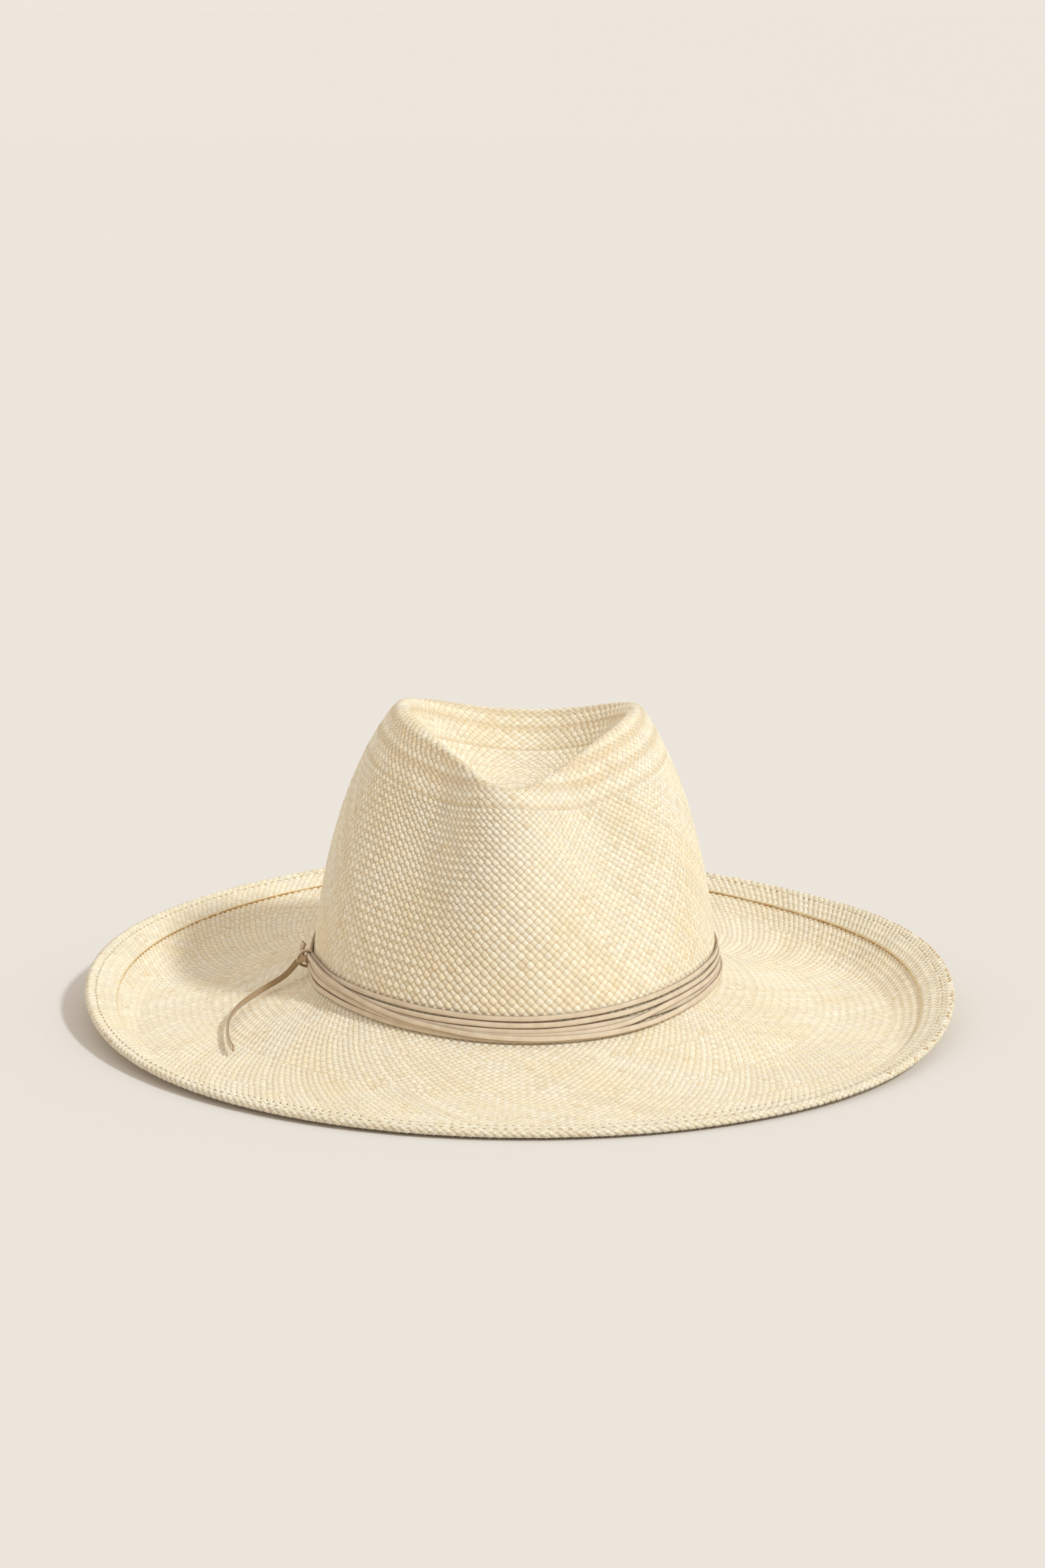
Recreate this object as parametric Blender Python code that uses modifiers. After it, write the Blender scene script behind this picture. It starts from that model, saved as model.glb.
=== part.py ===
"""Wide-brim panama hat: a woven straw body with a pinched teardrop crown, a folded brim hem,
a sewn-in sweatband with its reed, thread and bow, and a long suede lace wound round the crown.

Metres, +Z up. The hat stands on its brim at z = 0, centred on the origin, and faces -Y.
Angles round the hat start at the front (-Y) and run towards +X.
"""

import math

import bmesh
import bpy
import numpy as np

# ---------------------------------------------------------------- driving dimensions
RIM_HALF_WIDTH = 0.1880      # brim outline, plan view
RIM_HALF_LENGTH = 0.2050
CROWN_SHIFT = 0.0030         # the crown sits this far behind the brim's centre
BASE_HALF_WIDTH = 0.0866     # crown outline where it meets the brim
BASE_SHIFT = 0.0015          # that outline stands this far to the hat's right
BASE_HALF_LENGTH = 0.1040
RIDGE_HALF_WIDTH = 0.0514    # teardrop ridge round the top crease
RIDGE_FRONT = 0.0735
RIDGE_BACK = 0.0715
RIDGE_POINT = 0.50           # 0 rounds the front of the teardrop, 1 makes it a sharp point
PINCH_ANGLE = math.radians(-9.0)     # the crown's pinch points this way, not quite to the front
RIDGE_LEAN = 0.0008          # the ridge is this much higher on the right side, lower on the left

BASE_Z = (0.0100, 0.0142, 0.0130)    # heights at the front, the sides and the back
RIDGE_Z = (0.1105, 0.1310, 0.1190)
RIM_Z = (0.0022, 0.0085, 0.0230)
HEM_RISE = (0.0030, 0.0052, 0.0062)  # how far the rim stands above the inner edge of its hem
CREASE_Z = 0.0960                    # floor of the top crease

DENT_ANGLE = math.radians(40.0)      # finger dents either side of the pinch
DENT_SPREAD = math.radians(20.0)
DENT_DEPTH = 0.0125
FRONT_FLATTEN = 0.12

CURL_RIGHT = (math.radians(94.0), math.radians(30.0), 0.0080)    # angle, spread, extra height
CURL_LEFT = (math.radians(-103.0), math.radians(28.0), 0.0045)
CURL_IN_HEM = 0.25           # share of that height gained within the hem

DIP_ANGLE = math.radians(100.0)      # the brim sags to the table at both sides
DIP_SPREAD = math.radians(38.0)
DIP_DEPTH = 0.011

STRAW = 0.0016               # thickness of the woven straw
REST_BLEND = 0.0005          # height over which the brim rounds off where it lies on the table
HEM_WIDTH = 0.0145
HEM_SEAM = 0.0045            # the hem's stitch line, in from the rim
HEM_PLY = 0.0011
SWEATBAND_HEIGHT = 0.032
SWEATBAND_LIFT = 0.0045      # its lower edge stands this far above the brim line
SWEATBAND_THICK = 0.0009
REED_RADIUS = 0.0011
THREAD_RADIUS = 0.0003
LACE_WIDTH = 0.0028
LACE_THICK = 0.0013
LACE_TURNS = 6
LACE_PITCH = 0.0031
LACE_LIFT = 0.0020           # lowest lace edge above the brim line
KNOT_ANGLE = math.radians(-95.0)
GAP = 0.0003                 # clearance between touching pieces
WALL_GAP = 0.0005            # clearance between a curved wall and a band against it

SEAM_HEIGHT = 0.0025         # the sweatband's seam above its lower edge
BOW_WIDTH = 0.026
BOW_HEIGHT = 0.0090
BOW_THICK = 0.0014
BOW_WAIST = 0.48             # height at the bow's middle, as a share of its full height
BOW_FLARE = 1.60             # how fast its loops widen towards the ends
BOW_STAND_OFF = 0.0022
BOW_LIFT = 0.0100
BOW_LEAN = 8.0               # degrees, with the wall
KNOT_SIZE = (0.0052, 0.0060, 0.0110)
KNOT_EDGE = 0.0018
KNOT_HEIGHT = 0.0115
WALL_LEAN = math.radians(9.0)        # of the crown's wall behind the knot
SHORT_END = (0.0013, 0.0034, 0.0085)
SHORT_END_EDGE = 0.0003

SEGMENTS = 60                # round the hat
ROWS = 24                    # from the crease to where the hem starts
HEM_PARAMETER = 0.923        # where the hem starts, along the profile
HEM_ROWS = 4
SWEATBAND_ROWS = 3
LACE_END_GAP = 1             # steps left out where the wound lace starts and ends
BOW_POINTS = 32
WALL_SPAN = (0.34, 0.69)     # stretch of the profile that holds the crown's lower wall
RIM_SPAN = (1.0, 0.85)       # and the one that holds the hem
SAMPLES = 141                # points along either
MERGE_DISTANCE = 1e-6

# Wall of the crown from ridge to brim: (share of the way out from the ridge outline to the
# base outline, share of the height left above the base, share of the dent's depth).
WALL = (
    (0.08, 0.985, 0.35),
    (0.31, 0.885, 0.85),
    (0.62, 0.690, 1.00),
    (0.86, 0.430, 0.50),
    (0.965, 0.210, 0.10),
    (0.995, 0.090, 0.00),
)
# Top crease from its centre to the ridge: (share of the way out, share of the height gained).
CREASE = ((0.25, 0.00), (0.50, 0.10), (0.72, 0.48), (0.88, 0.86), (0.975, 1.04))

# Brim from the crown to where it turns up: (share of the way out to the rim, share of its fall).
BRIM = ((0.012, -0.02), (0.09, 0.12), (0.30, 0.50), (0.55, 0.90))
TURN_UP = 0.13               # share of the brim's width in which it turns up towards the hem

# Free end of the lace: out of the knot, down to the brim and along it.
LONG_END_RADIUS = 0.0009
LONG_END_ROUTE = (
    (-0.0960, 0.0092, 0.0212),
    (-0.0974, 0.0090, 0.0196),
    (-0.0992, 0.0086, 0.0176),
    (-0.1014, 0.0080, 0.0158),
    (-0.1040, 0.0070, 0.0142),
    (-0.1070, 0.0057, 0.0129),
    (-0.1104, 0.0038, 0.0115),
    (-0.1140, 0.0012, 0.0101),
    (-0.1174, -0.0020, 0.0089),
    (-0.1206, -0.0062, 0.0078),
    (-0.1234, -0.0116, 0.0068),
    (-0.1256, -0.0180, 0.0061),
    (-0.1272, -0.0252, 0.0056),
    (-0.1282, -0.0330, 0.0053),
    (-0.1288, -0.0412, 0.0051),
    (-0.1291, -0.0494, 0.0050),
    (-0.1291, -0.0572, 0.0050),
    (-0.1287, -0.0645, 0.0051),
    (-0.1280, -0.0712, 0.0053),
)

MATERIALS = {
    "straw": ((0.86, 0.76, 0.56), 0.62),
    "straw_hem": ((0.84, 0.72, 0.50), 0.64),
    "thread": ((0.80, 0.68, 0.45), 0.70),
    "sweatband_leather": ((0.62, 0.44, 0.27), 0.50),
    "reed": ((0.88, 0.84, 0.74), 0.40),
    "suede": ((0.52, 0.41, 0.30), 0.90),
}


# ---------------------------------------------------------------- the hat's surface
def around(values, angle):
    """A height or width that runs smoothly through its front, side and back values."""
    front, side, back = values
    mean = (front + back) / 4 + side / 2
    swing = (front - back) / 2
    squeeze = (front + back) / 4 - side / 2
    return mean + swing * np.cos(angle) + squeeze * np.cos(2 * angle)


def hump(angle, centre, spread):
    """A smooth bump of height 1 round one direction."""
    away = (angle - centre + math.pi) % (2 * math.pi) - math.pi
    return np.exp(-(away / spread) ** 2)


def oval(half_width, half_length, angle):
    return half_width * np.sin(angle), -half_length * np.cos(angle)


def teardrop(angle):
    """Plan outline of the ridge: round at the back, drawn to a point at the pinch."""
    def width(a):
        return np.sin(a) * (1 - RIDGE_POINT * ((1 + np.cos(a)) / 2) ** 2)
    from_pinch = angle - PINCH_ANGLE
    widest = np.max(width(np.linspace(0, math.pi, 721)))
    length = (RIDGE_FRONT + RIDGE_BACK) / 2
    lean = (RIDGE_FRONT - RIDGE_BACK) / 2
    across = RIDGE_HALF_WIDTH * width(from_pinch) / widest
    along = -np.cos(from_pinch) * (length + lean * np.cos(from_pinch))
    return (across * math.cos(PINCH_ANGLE) - along * math.sin(PINCH_ANGLE),
            along * math.cos(PINCH_ANGLE) + across * math.sin(PINCH_ANGLE))


def control_rings(angle):
    """Control points of the profile at each angle, from the crease's centre to the rim."""
    base_x, base_y = oval(BASE_HALF_WIDTH, BASE_HALF_LENGTH, angle)
    ridge_x, ridge_y = teardrop(angle)
    base_x = base_x - BASE_SHIFT
    base_y = base_y + CROWN_SHIFT
    ridge_y = ridge_y + CROWN_SHIFT
    base_z = around(BASE_Z, angle)
    ridge_z = around(RIDGE_Z, angle - PINCH_ANGLE) - RIDGE_LEAN * np.sin(angle)
    centre_y = 2 * CROWN_SHIFT
    one = np.ones_like(angle)
    rings = []

    def ring(x, y, z):
        rings.append(np.stack([x * one, y * one, z * one], -1))

    ring(0.0, centre_y, CREASE_Z)
    for out, up in CREASE:
        ring(ridge_x * out, centre_y + (ridge_y - centre_y) * out, CREASE_Z + (ridge_z - CREASE_Z) * up)

    from_pinch = angle - PINCH_ANGLE
    dent = DENT_DEPTH * (hump(from_pinch, DENT_ANGLE, DENT_SPREAD) + hump(from_pinch, -DENT_ANGLE, DENT_SPREAD))
    front = ((1 + np.cos(from_pinch)) / 2) ** 3
    for out, up, dented in WALL:
        share = out - FRONT_FLATTEN * math.sin(math.pi * up) * front
        x = ridge_x + (base_x - ridge_x) * share
        y = ridge_y + (base_y - ridge_y) * share
        shrink = 1 - dented * dent / np.hypot(x, y - CROWN_SHIFT)
        ring(x * shrink, CROWN_SHIFT + (y - CROWN_SHIFT) * shrink, base_z + (ridge_z - base_z) * up)

    rim_x, rim_y = oval(RIM_HALF_WIDTH, RIM_HALF_LENGTH, angle)
    curl = sum(height * hump(angle, centre, spread) for centre, spread, height in (CURL_RIGHT, CURL_LEFT))
    rim_z = around(RIM_Z, angle) + curl
    hem_rise = around(HEM_RISE, angle) + curl * CURL_IN_HEM
    hem_z = rim_z - hem_rise
    hem_share = 1 - HEM_WIDTH / np.hypot(rim_x - base_x, rim_y - base_y)
    dip = hem_z - DIP_DEPTH * (hump(angle, DIP_ANGLE, DIP_SPREAD) + hump(angle, -DIP_ANGLE, DIP_SPREAD))

    def brim(share, z):
        ring(base_x + (rim_x - base_x) * share, base_y + (rim_y - base_y) * share, z)

    for out, down in BRIM:
        brim(out, base_z + (dip - base_z) * down)
    brim(hem_share - TURN_UP, dip)
    brim(hem_share, hem_z)
    brim((1 + hem_share) / 2, (hem_z + rim_z) / 2)
    brim(one, rim_z)
    return np.array(rings)


def spline_weights(parameters, count):
    """Weights of a clamped cubic B-spline with this many control points."""
    degree = 3
    inner = np.linspace(0, 1, count - degree + 1)
    knots = np.concatenate([np.zeros(degree), inner, np.ones(degree)])
    at = np.minimum(np.asarray(parameters, float), 1 - 1e-9)
    weights = np.array([(at >= low) & (at < high) for low, high in zip(knots, knots[1:])], float).T
    for order in range(1, degree + 1):
        raised = np.zeros((len(at), weights.shape[1] - 1))
        for i in range(raised.shape[1]):
            rise = knots[i + order] - knots[i]
            fall = knots[i + order + 1] - knots[i + 1]
            if rise > 0:
                raised[:, i] += (at - knots[i]) / rise * weights[:, i]
            if fall > 0:
                raised[:, i] += (knots[i + order + 1] - at) / fall * weights[:, i + 1]
        weights = raised
    return weights


def resting(height):
    """The height where it is above the table, and flat on the table where it would be below."""
    above = height - STRAW / 2
    rounded = (above + REST_BLEND) ** 2 / (4 * REST_BLEND)
    return STRAW / 2 + np.where(above > REST_BLEND, above, np.where(above < -REST_BLEND, 0, rounded))


def surface(parameters, angles):
    """Middle of the straw at each parameter (0 crease centre, 1 rim) and angle."""
    rings = control_rings(np.asarray(angles, float))
    points = np.tensordot(spline_weights(parameters, len(rings)), rings, (1, 0))
    points[..., 2] = resting(points[..., 2])
    return points


def normals(parameters, angles):
    """Outward normals of the surface: up on the brim, away from the head on the crown."""
    step = 1e-4
    parameters = np.asarray(parameters, float)
    angles = np.asarray(angles, float)
    low = np.clip(parameters - step, 0, 1)
    high = np.clip(parameters + step, 0, 1)
    along = surface(high, angles) - surface(low, angles)
    across = surface(parameters, angles + step) - surface(parameters, angles - step)
    facing = np.cross(along, across)
    return facing / np.linalg.norm(facing, axis=-1, keepdims=True)


def sample_column(points, measure, value):
    """The point of one profile where a rising measure along it reaches a value."""
    return [np.interp(value, measure, points[:, axis]) for axis in range(3)]


def wall_ring(height, offset, angles):
    """Points beside the crown's wall, this far above the brim line and off the straw's middle."""
    profile = np.linspace(*WALL_SPAN, SAMPLES)
    points = surface(profile, angles) + offset * normals(profile, angles)
    above = points[..., 2] - around(BASE_Z, angles)
    wanted = np.broadcast_to(height, len(angles))
    return [sample_column(points[::-1, j], above[::-1, j], wanted[j]) for j in range(len(angles))]


def rim_ring(inset, offset, angles):
    """Points above the brim, this far in from the rim and off the straw's middle."""
    profile = np.linspace(*RIM_SPAN, SAMPLES)
    points = surface(profile, angles)
    steps = np.linalg.norm(np.diff(points, axis=0), axis=-1)
    run = np.concatenate([np.zeros((1, len(angles))), np.cumsum(steps, axis=0)])
    points = points + offset * normals(profile, angles)
    return [sample_column(points[:, j], run[:, j], inset) for j in range(len(angles))]


# ---------------------------------------------------------------- making objects
def material(name):
    found = bpy.data.materials.get(name)
    if found:
        return found
    colour, roughness = MATERIALS[name]
    made = bpy.data.materials.new(name)
    made.use_nodes = True
    shader = made.node_tree.nodes["Principled BSDF"]
    shader.inputs["Base Color"].default_value = (*colour, 1.0)
    shader.inputs["Roughness"].default_value = roughness
    return made


def add_object(name, data, look, collection):
    made = bpy.data.objects.new(name, data)
    data.materials.append(material(look))
    collection.objects.link(made)
    return made


def smooth(made, angle=40.0):
    made.data.shade_smooth()
    made.data.set_sharp_from_angle(angle=math.radians(angle))


def sheet_mesh(name, rings, closed=True):
    """An open surface through rings of points, closed round the hat or left as a ribbon."""
    count = len(rings[0])
    vertices = [tuple(point) for ring in rings for point in ring]
    faces = []
    for row in range(len(rings) - 1):
        for j in range(count if closed else count - 1):
            k = (j + 1) % count
            low = row * count
            high = low + count
            faces.append((low + j, low + k, high + k, high + j))
    mesh = bpy.data.meshes.new(name)
    mesh.from_pydata(vertices, [], faces)
    return mesh


def thicken(made, thickness):
    solid = made.modifiers.new("thickness", "SOLIDIFY")
    solid.thickness = thickness
    solid.offset = 0.0
    solid.use_even_offset = True


def tube(name, points, radius, look, collection, cyclic=False, resolution=2):
    curve = bpy.data.curves.new(name, "CURVE")
    curve.dimensions = "3D"
    curve.bevel_depth = radius
    curve.bevel_resolution = resolution
    curve.use_fill_caps = not cyclic
    spline = curve.splines.new("POLY")
    spline.points.add(len(points) - 1)
    for place, point in zip(spline.points, points):
        place.co = (*point, 1.0)
    spline.use_cyclic_u = cyclic
    return add_object(name, curve, look, collection)


def rounded_block(name, size, centre, turn, edge, look, collection):
    """A small block with bevelled edges, turned about the vertical and placed."""
    mesh = bpy.data.meshes.new(name)
    shape = bmesh.new()
    bmesh.ops.create_cube(shape, size=1.0)
    bmesh.ops.scale(shape, vec=size, verts=shape.verts)
    shape.to_mesh(mesh)
    shape.free()
    made = add_object(name, mesh, look, collection)
    made.location = centre
    made.rotation_euler = turn
    bevel = made.modifiers.new("edges", "BEVEL")
    bevel.width = edge
    bevel.segments = 2
    return made


# ---------------------------------------------------------------- sub-parts
def straw_body(collection):
    """Crown and brim, woven in one piece."""
    parameters = np.concatenate([np.linspace(0, HEM_PARAMETER, ROWS, endpoint=False),
                                 np.linspace(HEM_PARAMETER, 1, HEM_ROWS + 1)])
    rings = surface(parameters, ALL_ANGLES)
    mesh = sheet_mesh("straw_body", rings)
    shape = bmesh.new()
    shape.from_mesh(mesh)
    bmesh.ops.remove_doubles(shape, verts=shape.verts, dist=MERGE_DISTANCE)
    bmesh.ops.recalc_face_normals(shape, faces=shape.faces)
    shape.to_mesh(mesh)
    shape.free()
    made = add_object("straw_body", mesh, "straw", collection)
    thicken(made, STRAW)
    smooth(made)


def brim_hem(collection):
    """The straw turned back over the brim's edge and lying on its upper side."""
    offset = STRAW / 2 + GAP + HEM_PLY / 2
    rings = [rim_ring(HEM_WIDTH * step / HEM_ROWS, offset, ALL_ANGLES) for step in range(HEM_ROWS + 1)]
    made = add_object("brim_hem", sheet_mesh("brim_hem", rings), "straw_hem", collection)
    thicken(made, HEM_PLY)
    smooth(made)


def hem_thread(collection):
    """The seam that holds the turned hem down."""
    offset = STRAW / 2 + 2 * GAP + HEM_PLY + THREAD_RADIUS
    points = rim_ring(HEM_SEAM, offset, ALL_ANGLES)
    tube("hem_thread", points, THREAD_RADIUS, "thread", collection, cyclic=True, resolution=0)


def sweatband(collection):
    """Leather band inside the crown, on the head."""
    offset = -(STRAW / 2 + WALL_GAP + SWEATBAND_THICK / 2)
    heights = np.linspace(SWEATBAND_LIFT, SWEATBAND_LIFT + SWEATBAND_HEIGHT, SWEATBAND_ROWS + 1)
    rings = [wall_ring(height, offset, ALL_ANGLES) for height in heights]
    made = add_object("sweatband", sheet_mesh("sweatband", rings), "sweatband_leather", collection)
    thicken(made, SWEATBAND_THICK)
    smooth(made)


def sweatband_reed(collection):
    """Cord that stiffens the sweatband's lower edge."""
    offset = -(STRAW / 2 + WALL_GAP + REED_RADIUS)
    points = wall_ring(SWEATBAND_LIFT - GAP - REED_RADIUS, offset, ALL_ANGLES)
    tube("sweatband_reed", points, REED_RADIUS, "reed", collection, cyclic=True, resolution=1)


def sweatband_thread(collection):
    """Seam that joins the sweatband to the straw, on the head side."""
    offset = -(STRAW / 2 + WALL_GAP + SWEATBAND_THICK + GAP + THREAD_RADIUS)
    points = wall_ring(SWEATBAND_LIFT + SEAM_HEIGHT, offset, ALL_ANGLES)
    tube("sweatband_thread", points, THREAD_RADIUS, "thread", collection, cyclic=True, resolution=0)


def sweatband_bow(collection):
    """Flat bow over the sweatband's joint at the back: a plan outline pinched at its middle."""
    curve = bpy.data.curves.new("sweatband_bow", "CURVE")
    curve.dimensions = "2D"
    curve.fill_mode = "BOTH"
    curve.extrude = BOW_THICK / 2
    spline = curve.splines.new("POLY")
    turns = np.linspace(0, 2 * math.pi, BOW_POINTS, endpoint=False)
    spline.points.add(BOW_POINTS - 1)
    for place, turn in zip(spline.points, turns):
        reach = BOW_WIDTH / 2 * math.cos(turn)
        flare = BOW_WAIST + (BOW_FLARE - BOW_WAIST) * math.cos(turn) ** 2
        place.co = (reach, BOW_HEIGHT / 2 * math.sin(turn) * flare, 0.0, 1.0)
    spline.use_cyclic_u = True
    made = add_object("sweatband_bow", curve, "sweatband_leather", collection)
    back = np.array([math.pi])
    offset = -(STRAW / 2 + WALL_GAP + SWEATBAND_THICK + BOW_STAND_OFF + BOW_THICK / 2)
    made.location = wall_ring(SWEATBAND_LIFT + BOW_LIFT, offset, back)[0]
    made.rotation_euler = (math.radians(90 - BOW_LEAN), 0.0, 0.0)


def hatband_lace(collection):
    """The lace wound round the crown, each turn resting on the one below."""
    steps = LACE_TURNS * SEGMENTS - LACE_END_GAP
    start = int(round(KNOT_ANGLE / (2 * math.pi / SEGMENTS)))
    angles = (start + np.arange(steps + 1)) * 2 * math.pi / SEGMENTS
    rise = LACE_PITCH * np.arange(steps + 1) / SEGMENTS
    offset = STRAW / 2 + WALL_GAP + LACE_THICK / 2
    low = wall_ring(LACE_LIFT + rise, offset, angles)
    high = wall_ring(LACE_LIFT + LACE_WIDTH + rise, offset, angles)
    mesh = sheet_mesh("hatband_lace", [low, high], closed=False)
    made = add_object("hatband_lace", mesh, "suede", collection)
    thicken(made, LACE_THICK)


def knot_place(out, height):
    """A point beside the wound band at the knot, this far off its outer face."""
    offset = STRAW / 2 + WALL_GAP + LACE_THICK + GAP + out
    return wall_ring(height, offset, np.array([KNOT_ANGLE]))[0]


def lace_knot(collection):
    """Overhand knot that gathers the turns."""
    centre = knot_place(KNOT_SIZE[0] / 2, KNOT_HEIGHT)
    turn = (0.0, -WALL_LEAN, KNOT_ANGLE - math.pi / 2)
    rounded_block("lace_knot", KNOT_SIZE, centre, turn, KNOT_EDGE, "suede", collection)


def lace_short_end(collection):
    """Cut end of the lace standing up out of the knot."""
    height = KNOT_HEIGHT + KNOT_SIZE[2] / 2 + GAP + SHORT_END[2] / 2
    centre = knot_place(KNOT_SIZE[0] / 2, height)
    turn = (0.0, -WALL_LEAN, KNOT_ANGLE - math.pi / 2)
    rounded_block("lace_short_end", SHORT_END, centre, turn, SHORT_END_EDGE, "suede", collection)


def lace_long_end(collection):
    """Long loose end of the lace, lying on the brim."""
    tube("lace_long_end", LONG_END_ROUTE, LONG_END_RADIUS, "suede", collection)


def main():
    for old in list(bpy.data.objects):
        bpy.data.objects.remove(old, do_unlink=True)
    hat = bpy.data.collections.new("panama_hat")
    bpy.context.scene.collection.children.link(hat)
    straw_body(hat)
    brim_hem(hat)
    hem_thread(hat)
    sweatband(hat)
    sweatband_reed(hat)
    sweatband_thread(hat)
    sweatband_bow(hat)
    hatband_lace(hat)
    lace_knot(hat)
    lace_short_end(hat)
    lace_long_end(hat)


ALL_ANGLES = np.arange(SEGMENTS) * 2 * math.pi / SEGMENTS
main()
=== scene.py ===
"""Looks of a wide-brim panama hat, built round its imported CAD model.

Metres, +Z up, in the CAD model's frame: the hat stands on its brim at z = 0 and faces -Y.
Angles round the hat start at the front (-Y) and run towards +X. A "turn" is a share of the way
round a ring, from the back by way of the right side (-X), the front and the left side.
"""

import math

import bpy
import numpy as np
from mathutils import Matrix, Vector


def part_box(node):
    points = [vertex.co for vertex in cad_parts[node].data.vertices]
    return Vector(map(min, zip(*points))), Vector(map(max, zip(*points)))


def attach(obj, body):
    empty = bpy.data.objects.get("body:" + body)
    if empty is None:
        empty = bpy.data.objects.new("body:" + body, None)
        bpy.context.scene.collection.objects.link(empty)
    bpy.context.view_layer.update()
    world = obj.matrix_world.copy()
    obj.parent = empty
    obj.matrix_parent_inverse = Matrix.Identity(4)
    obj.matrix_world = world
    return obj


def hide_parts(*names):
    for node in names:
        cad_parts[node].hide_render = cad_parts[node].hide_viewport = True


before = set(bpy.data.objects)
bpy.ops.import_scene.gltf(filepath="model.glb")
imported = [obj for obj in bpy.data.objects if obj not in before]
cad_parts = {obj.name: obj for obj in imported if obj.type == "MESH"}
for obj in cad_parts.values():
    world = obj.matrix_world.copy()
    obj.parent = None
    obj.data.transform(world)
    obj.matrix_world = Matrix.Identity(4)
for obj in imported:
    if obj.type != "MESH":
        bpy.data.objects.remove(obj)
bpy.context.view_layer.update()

# ---- sizes repeated from the CAD source
RIM_HALF_WIDTH = 0.1880
RIM_HALF_LENGTH = 0.2050
CROWN_SHIFT = 0.0030
BASE_HALF_WIDTH = 0.0866
BASE_SHIFT = 0.0015
BASE_HALF_LENGTH = 0.1040
RIDGE_HALF_WIDTH = 0.0514
RIDGE_FRONT = 0.0735
RIDGE_BACK = 0.0715
RIDGE_POINT = 0.50
PINCH_ANGLE = math.radians(-9.0)
RIDGE_LEAN = 0.0008
BASE_Z = (0.0100, 0.0142, 0.0130)  # at the front, the sides and the back
RIDGE_Z = (0.1105, 0.1310, 0.1190)
RIM_Z = (0.0022, 0.0085, 0.0230)
HEM_RISE = (0.0030, 0.0052, 0.0062)
CREASE_Z = 0.0960
DENT_ANGLE = math.radians(40.0)
DENT_SPREAD = math.radians(20.0)
DENT_DEPTH = 0.0125
FRONT_FLATTEN = 0.12
CURL_RIGHT = (math.radians(94.0), math.radians(30.0), 0.0080)
CURL_LEFT = (math.radians(-103.0), math.radians(28.0), 0.0045)
CURL_IN_HEM = 0.25
DIP_ANGLE = math.radians(100.0)
DIP_SPREAD = math.radians(38.0)
DIP_DEPTH = 0.011
STRAW = 0.0016
REST_BLEND = 0.0005
HEM_WIDTH = 0.0145
HEM_SEAM = 0.0045
HEM_PLY = 0.0011
GAP = 0.0003
WALL_GAP = 0.0005
SWEATBAND_HEIGHT = 0.032
SWEATBAND_LIFT = 0.0045
SWEATBAND_THICK = 0.0009
SEAM_HEIGHT = 0.0025
REED_RADIUS = 0.0011
THREAD_RADIUS = 0.0003
LACE_WIDTH = 0.0028
LACE_THICK = 0.0013
WALL = (
    (0.08, 0.985, 0.35),
    (0.31, 0.885, 0.85),
    (0.62, 0.690, 1.00),
    (0.86, 0.430, 0.50),
    (0.965, 0.210, 0.10),
    (0.995, 0.090, 0.00),
)
CREASE = ((0.25, 0.00), (0.50, 0.10), (0.72, 0.48), (0.88, 0.86), (0.975, 1.04))
BRIM = ((0.012, -0.02), (0.09, 0.12), (0.30, 0.50), (0.55, 0.90))
TURN_UP = 0.13

# ---- the weave
CROWN_RUN = 0.187  # distance from the crease's centre to the brim, along the straw
BRIM_RUN = 0.102  # and from there to the rim
BODY_RUN = CROWN_RUN + BRIM_RUN
BASE_PARAMETER = 0.647  # where the profile turns from crown to brim
STRAW_WIDTH = 0.0025  # width of one straw
PERIOD = STRAW_WIDTH * math.sqrt(2)  # repeat of the weave round the hat
TABLE_ROWS = 721
TABLE_TURNS = 1440
TOP_RINGS = (0.0012, 0.010, 0.020, 0.032, 0.046, 0.060, 0.069, 0.078, 0.088)
WALL_RINGS = (0.088, CROWN_RUN)
INNER_RINGS = (CROWN_RUN, 0.203, 0.232)
OUTER_RINGS = (0.232, 0.262, 0.2765)
UNDER_RINGS = (CROWN_RUN, 0.203, 0.232, 0.262, BODY_RUN - 0.0035)
HEM_TOP = STRAW / 2 + GAP + HEM_PLY  # outer face of the turned ply, off the straw's middle
HEM_ROLL = (HEM_TOP + STRAW / 2) / 2  # radius of the fold round the rim
HEM_MIDDLE = HEM_TOP - HEM_ROLL
HEM_UNDER = 0.0040  # how far the fold's weave runs back underneath
HEM_FLAT = HEM_WIDTH - HEM_ROLL
HEM_RUN = HEM_FLAT + math.pi * HEM_ROLL + HEM_UNDER - HEM_ROLL
HEM_SINK = 0.0006  # the hem thins by this at its inner edge
HEM_SLOPE = 0.0050  # over this width
HEM_SEAM_LIFT = 0.0001  # its stitches lie this far off its face
WEAVE_SINK = 0.00015  # the weave's middle lies this far under the CAD's face
SCORCHED = ((0.80, 0.85), (0.20, 0.25))  # (turn, share of straws) where the fold is browned most
SCORCH_CUT = 0.10  # share taken off again all round
SCORCH_AT = 0.0008  # the browned line, past the start of the fold
SCORCH_SPREAD = 0.0013
EDGE_POINTS = 3000  # round the hem's cut edge
EDGE_STEPS = (  # its profile: in from the nominal edge, and off the straw
    (0.0010, HEM_TOP - HEM_SINK + 0.00022),
    (0.0, HEM_TOP - HEM_SINK - 0.00010),
    (-0.00016, HEM_TOP - HEM_SINK - 0.00045),
    (-0.0001, STRAW / 2 + 0.0001),
    (-0.0004, STRAW / 2 - 0.0003),
)

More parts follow.
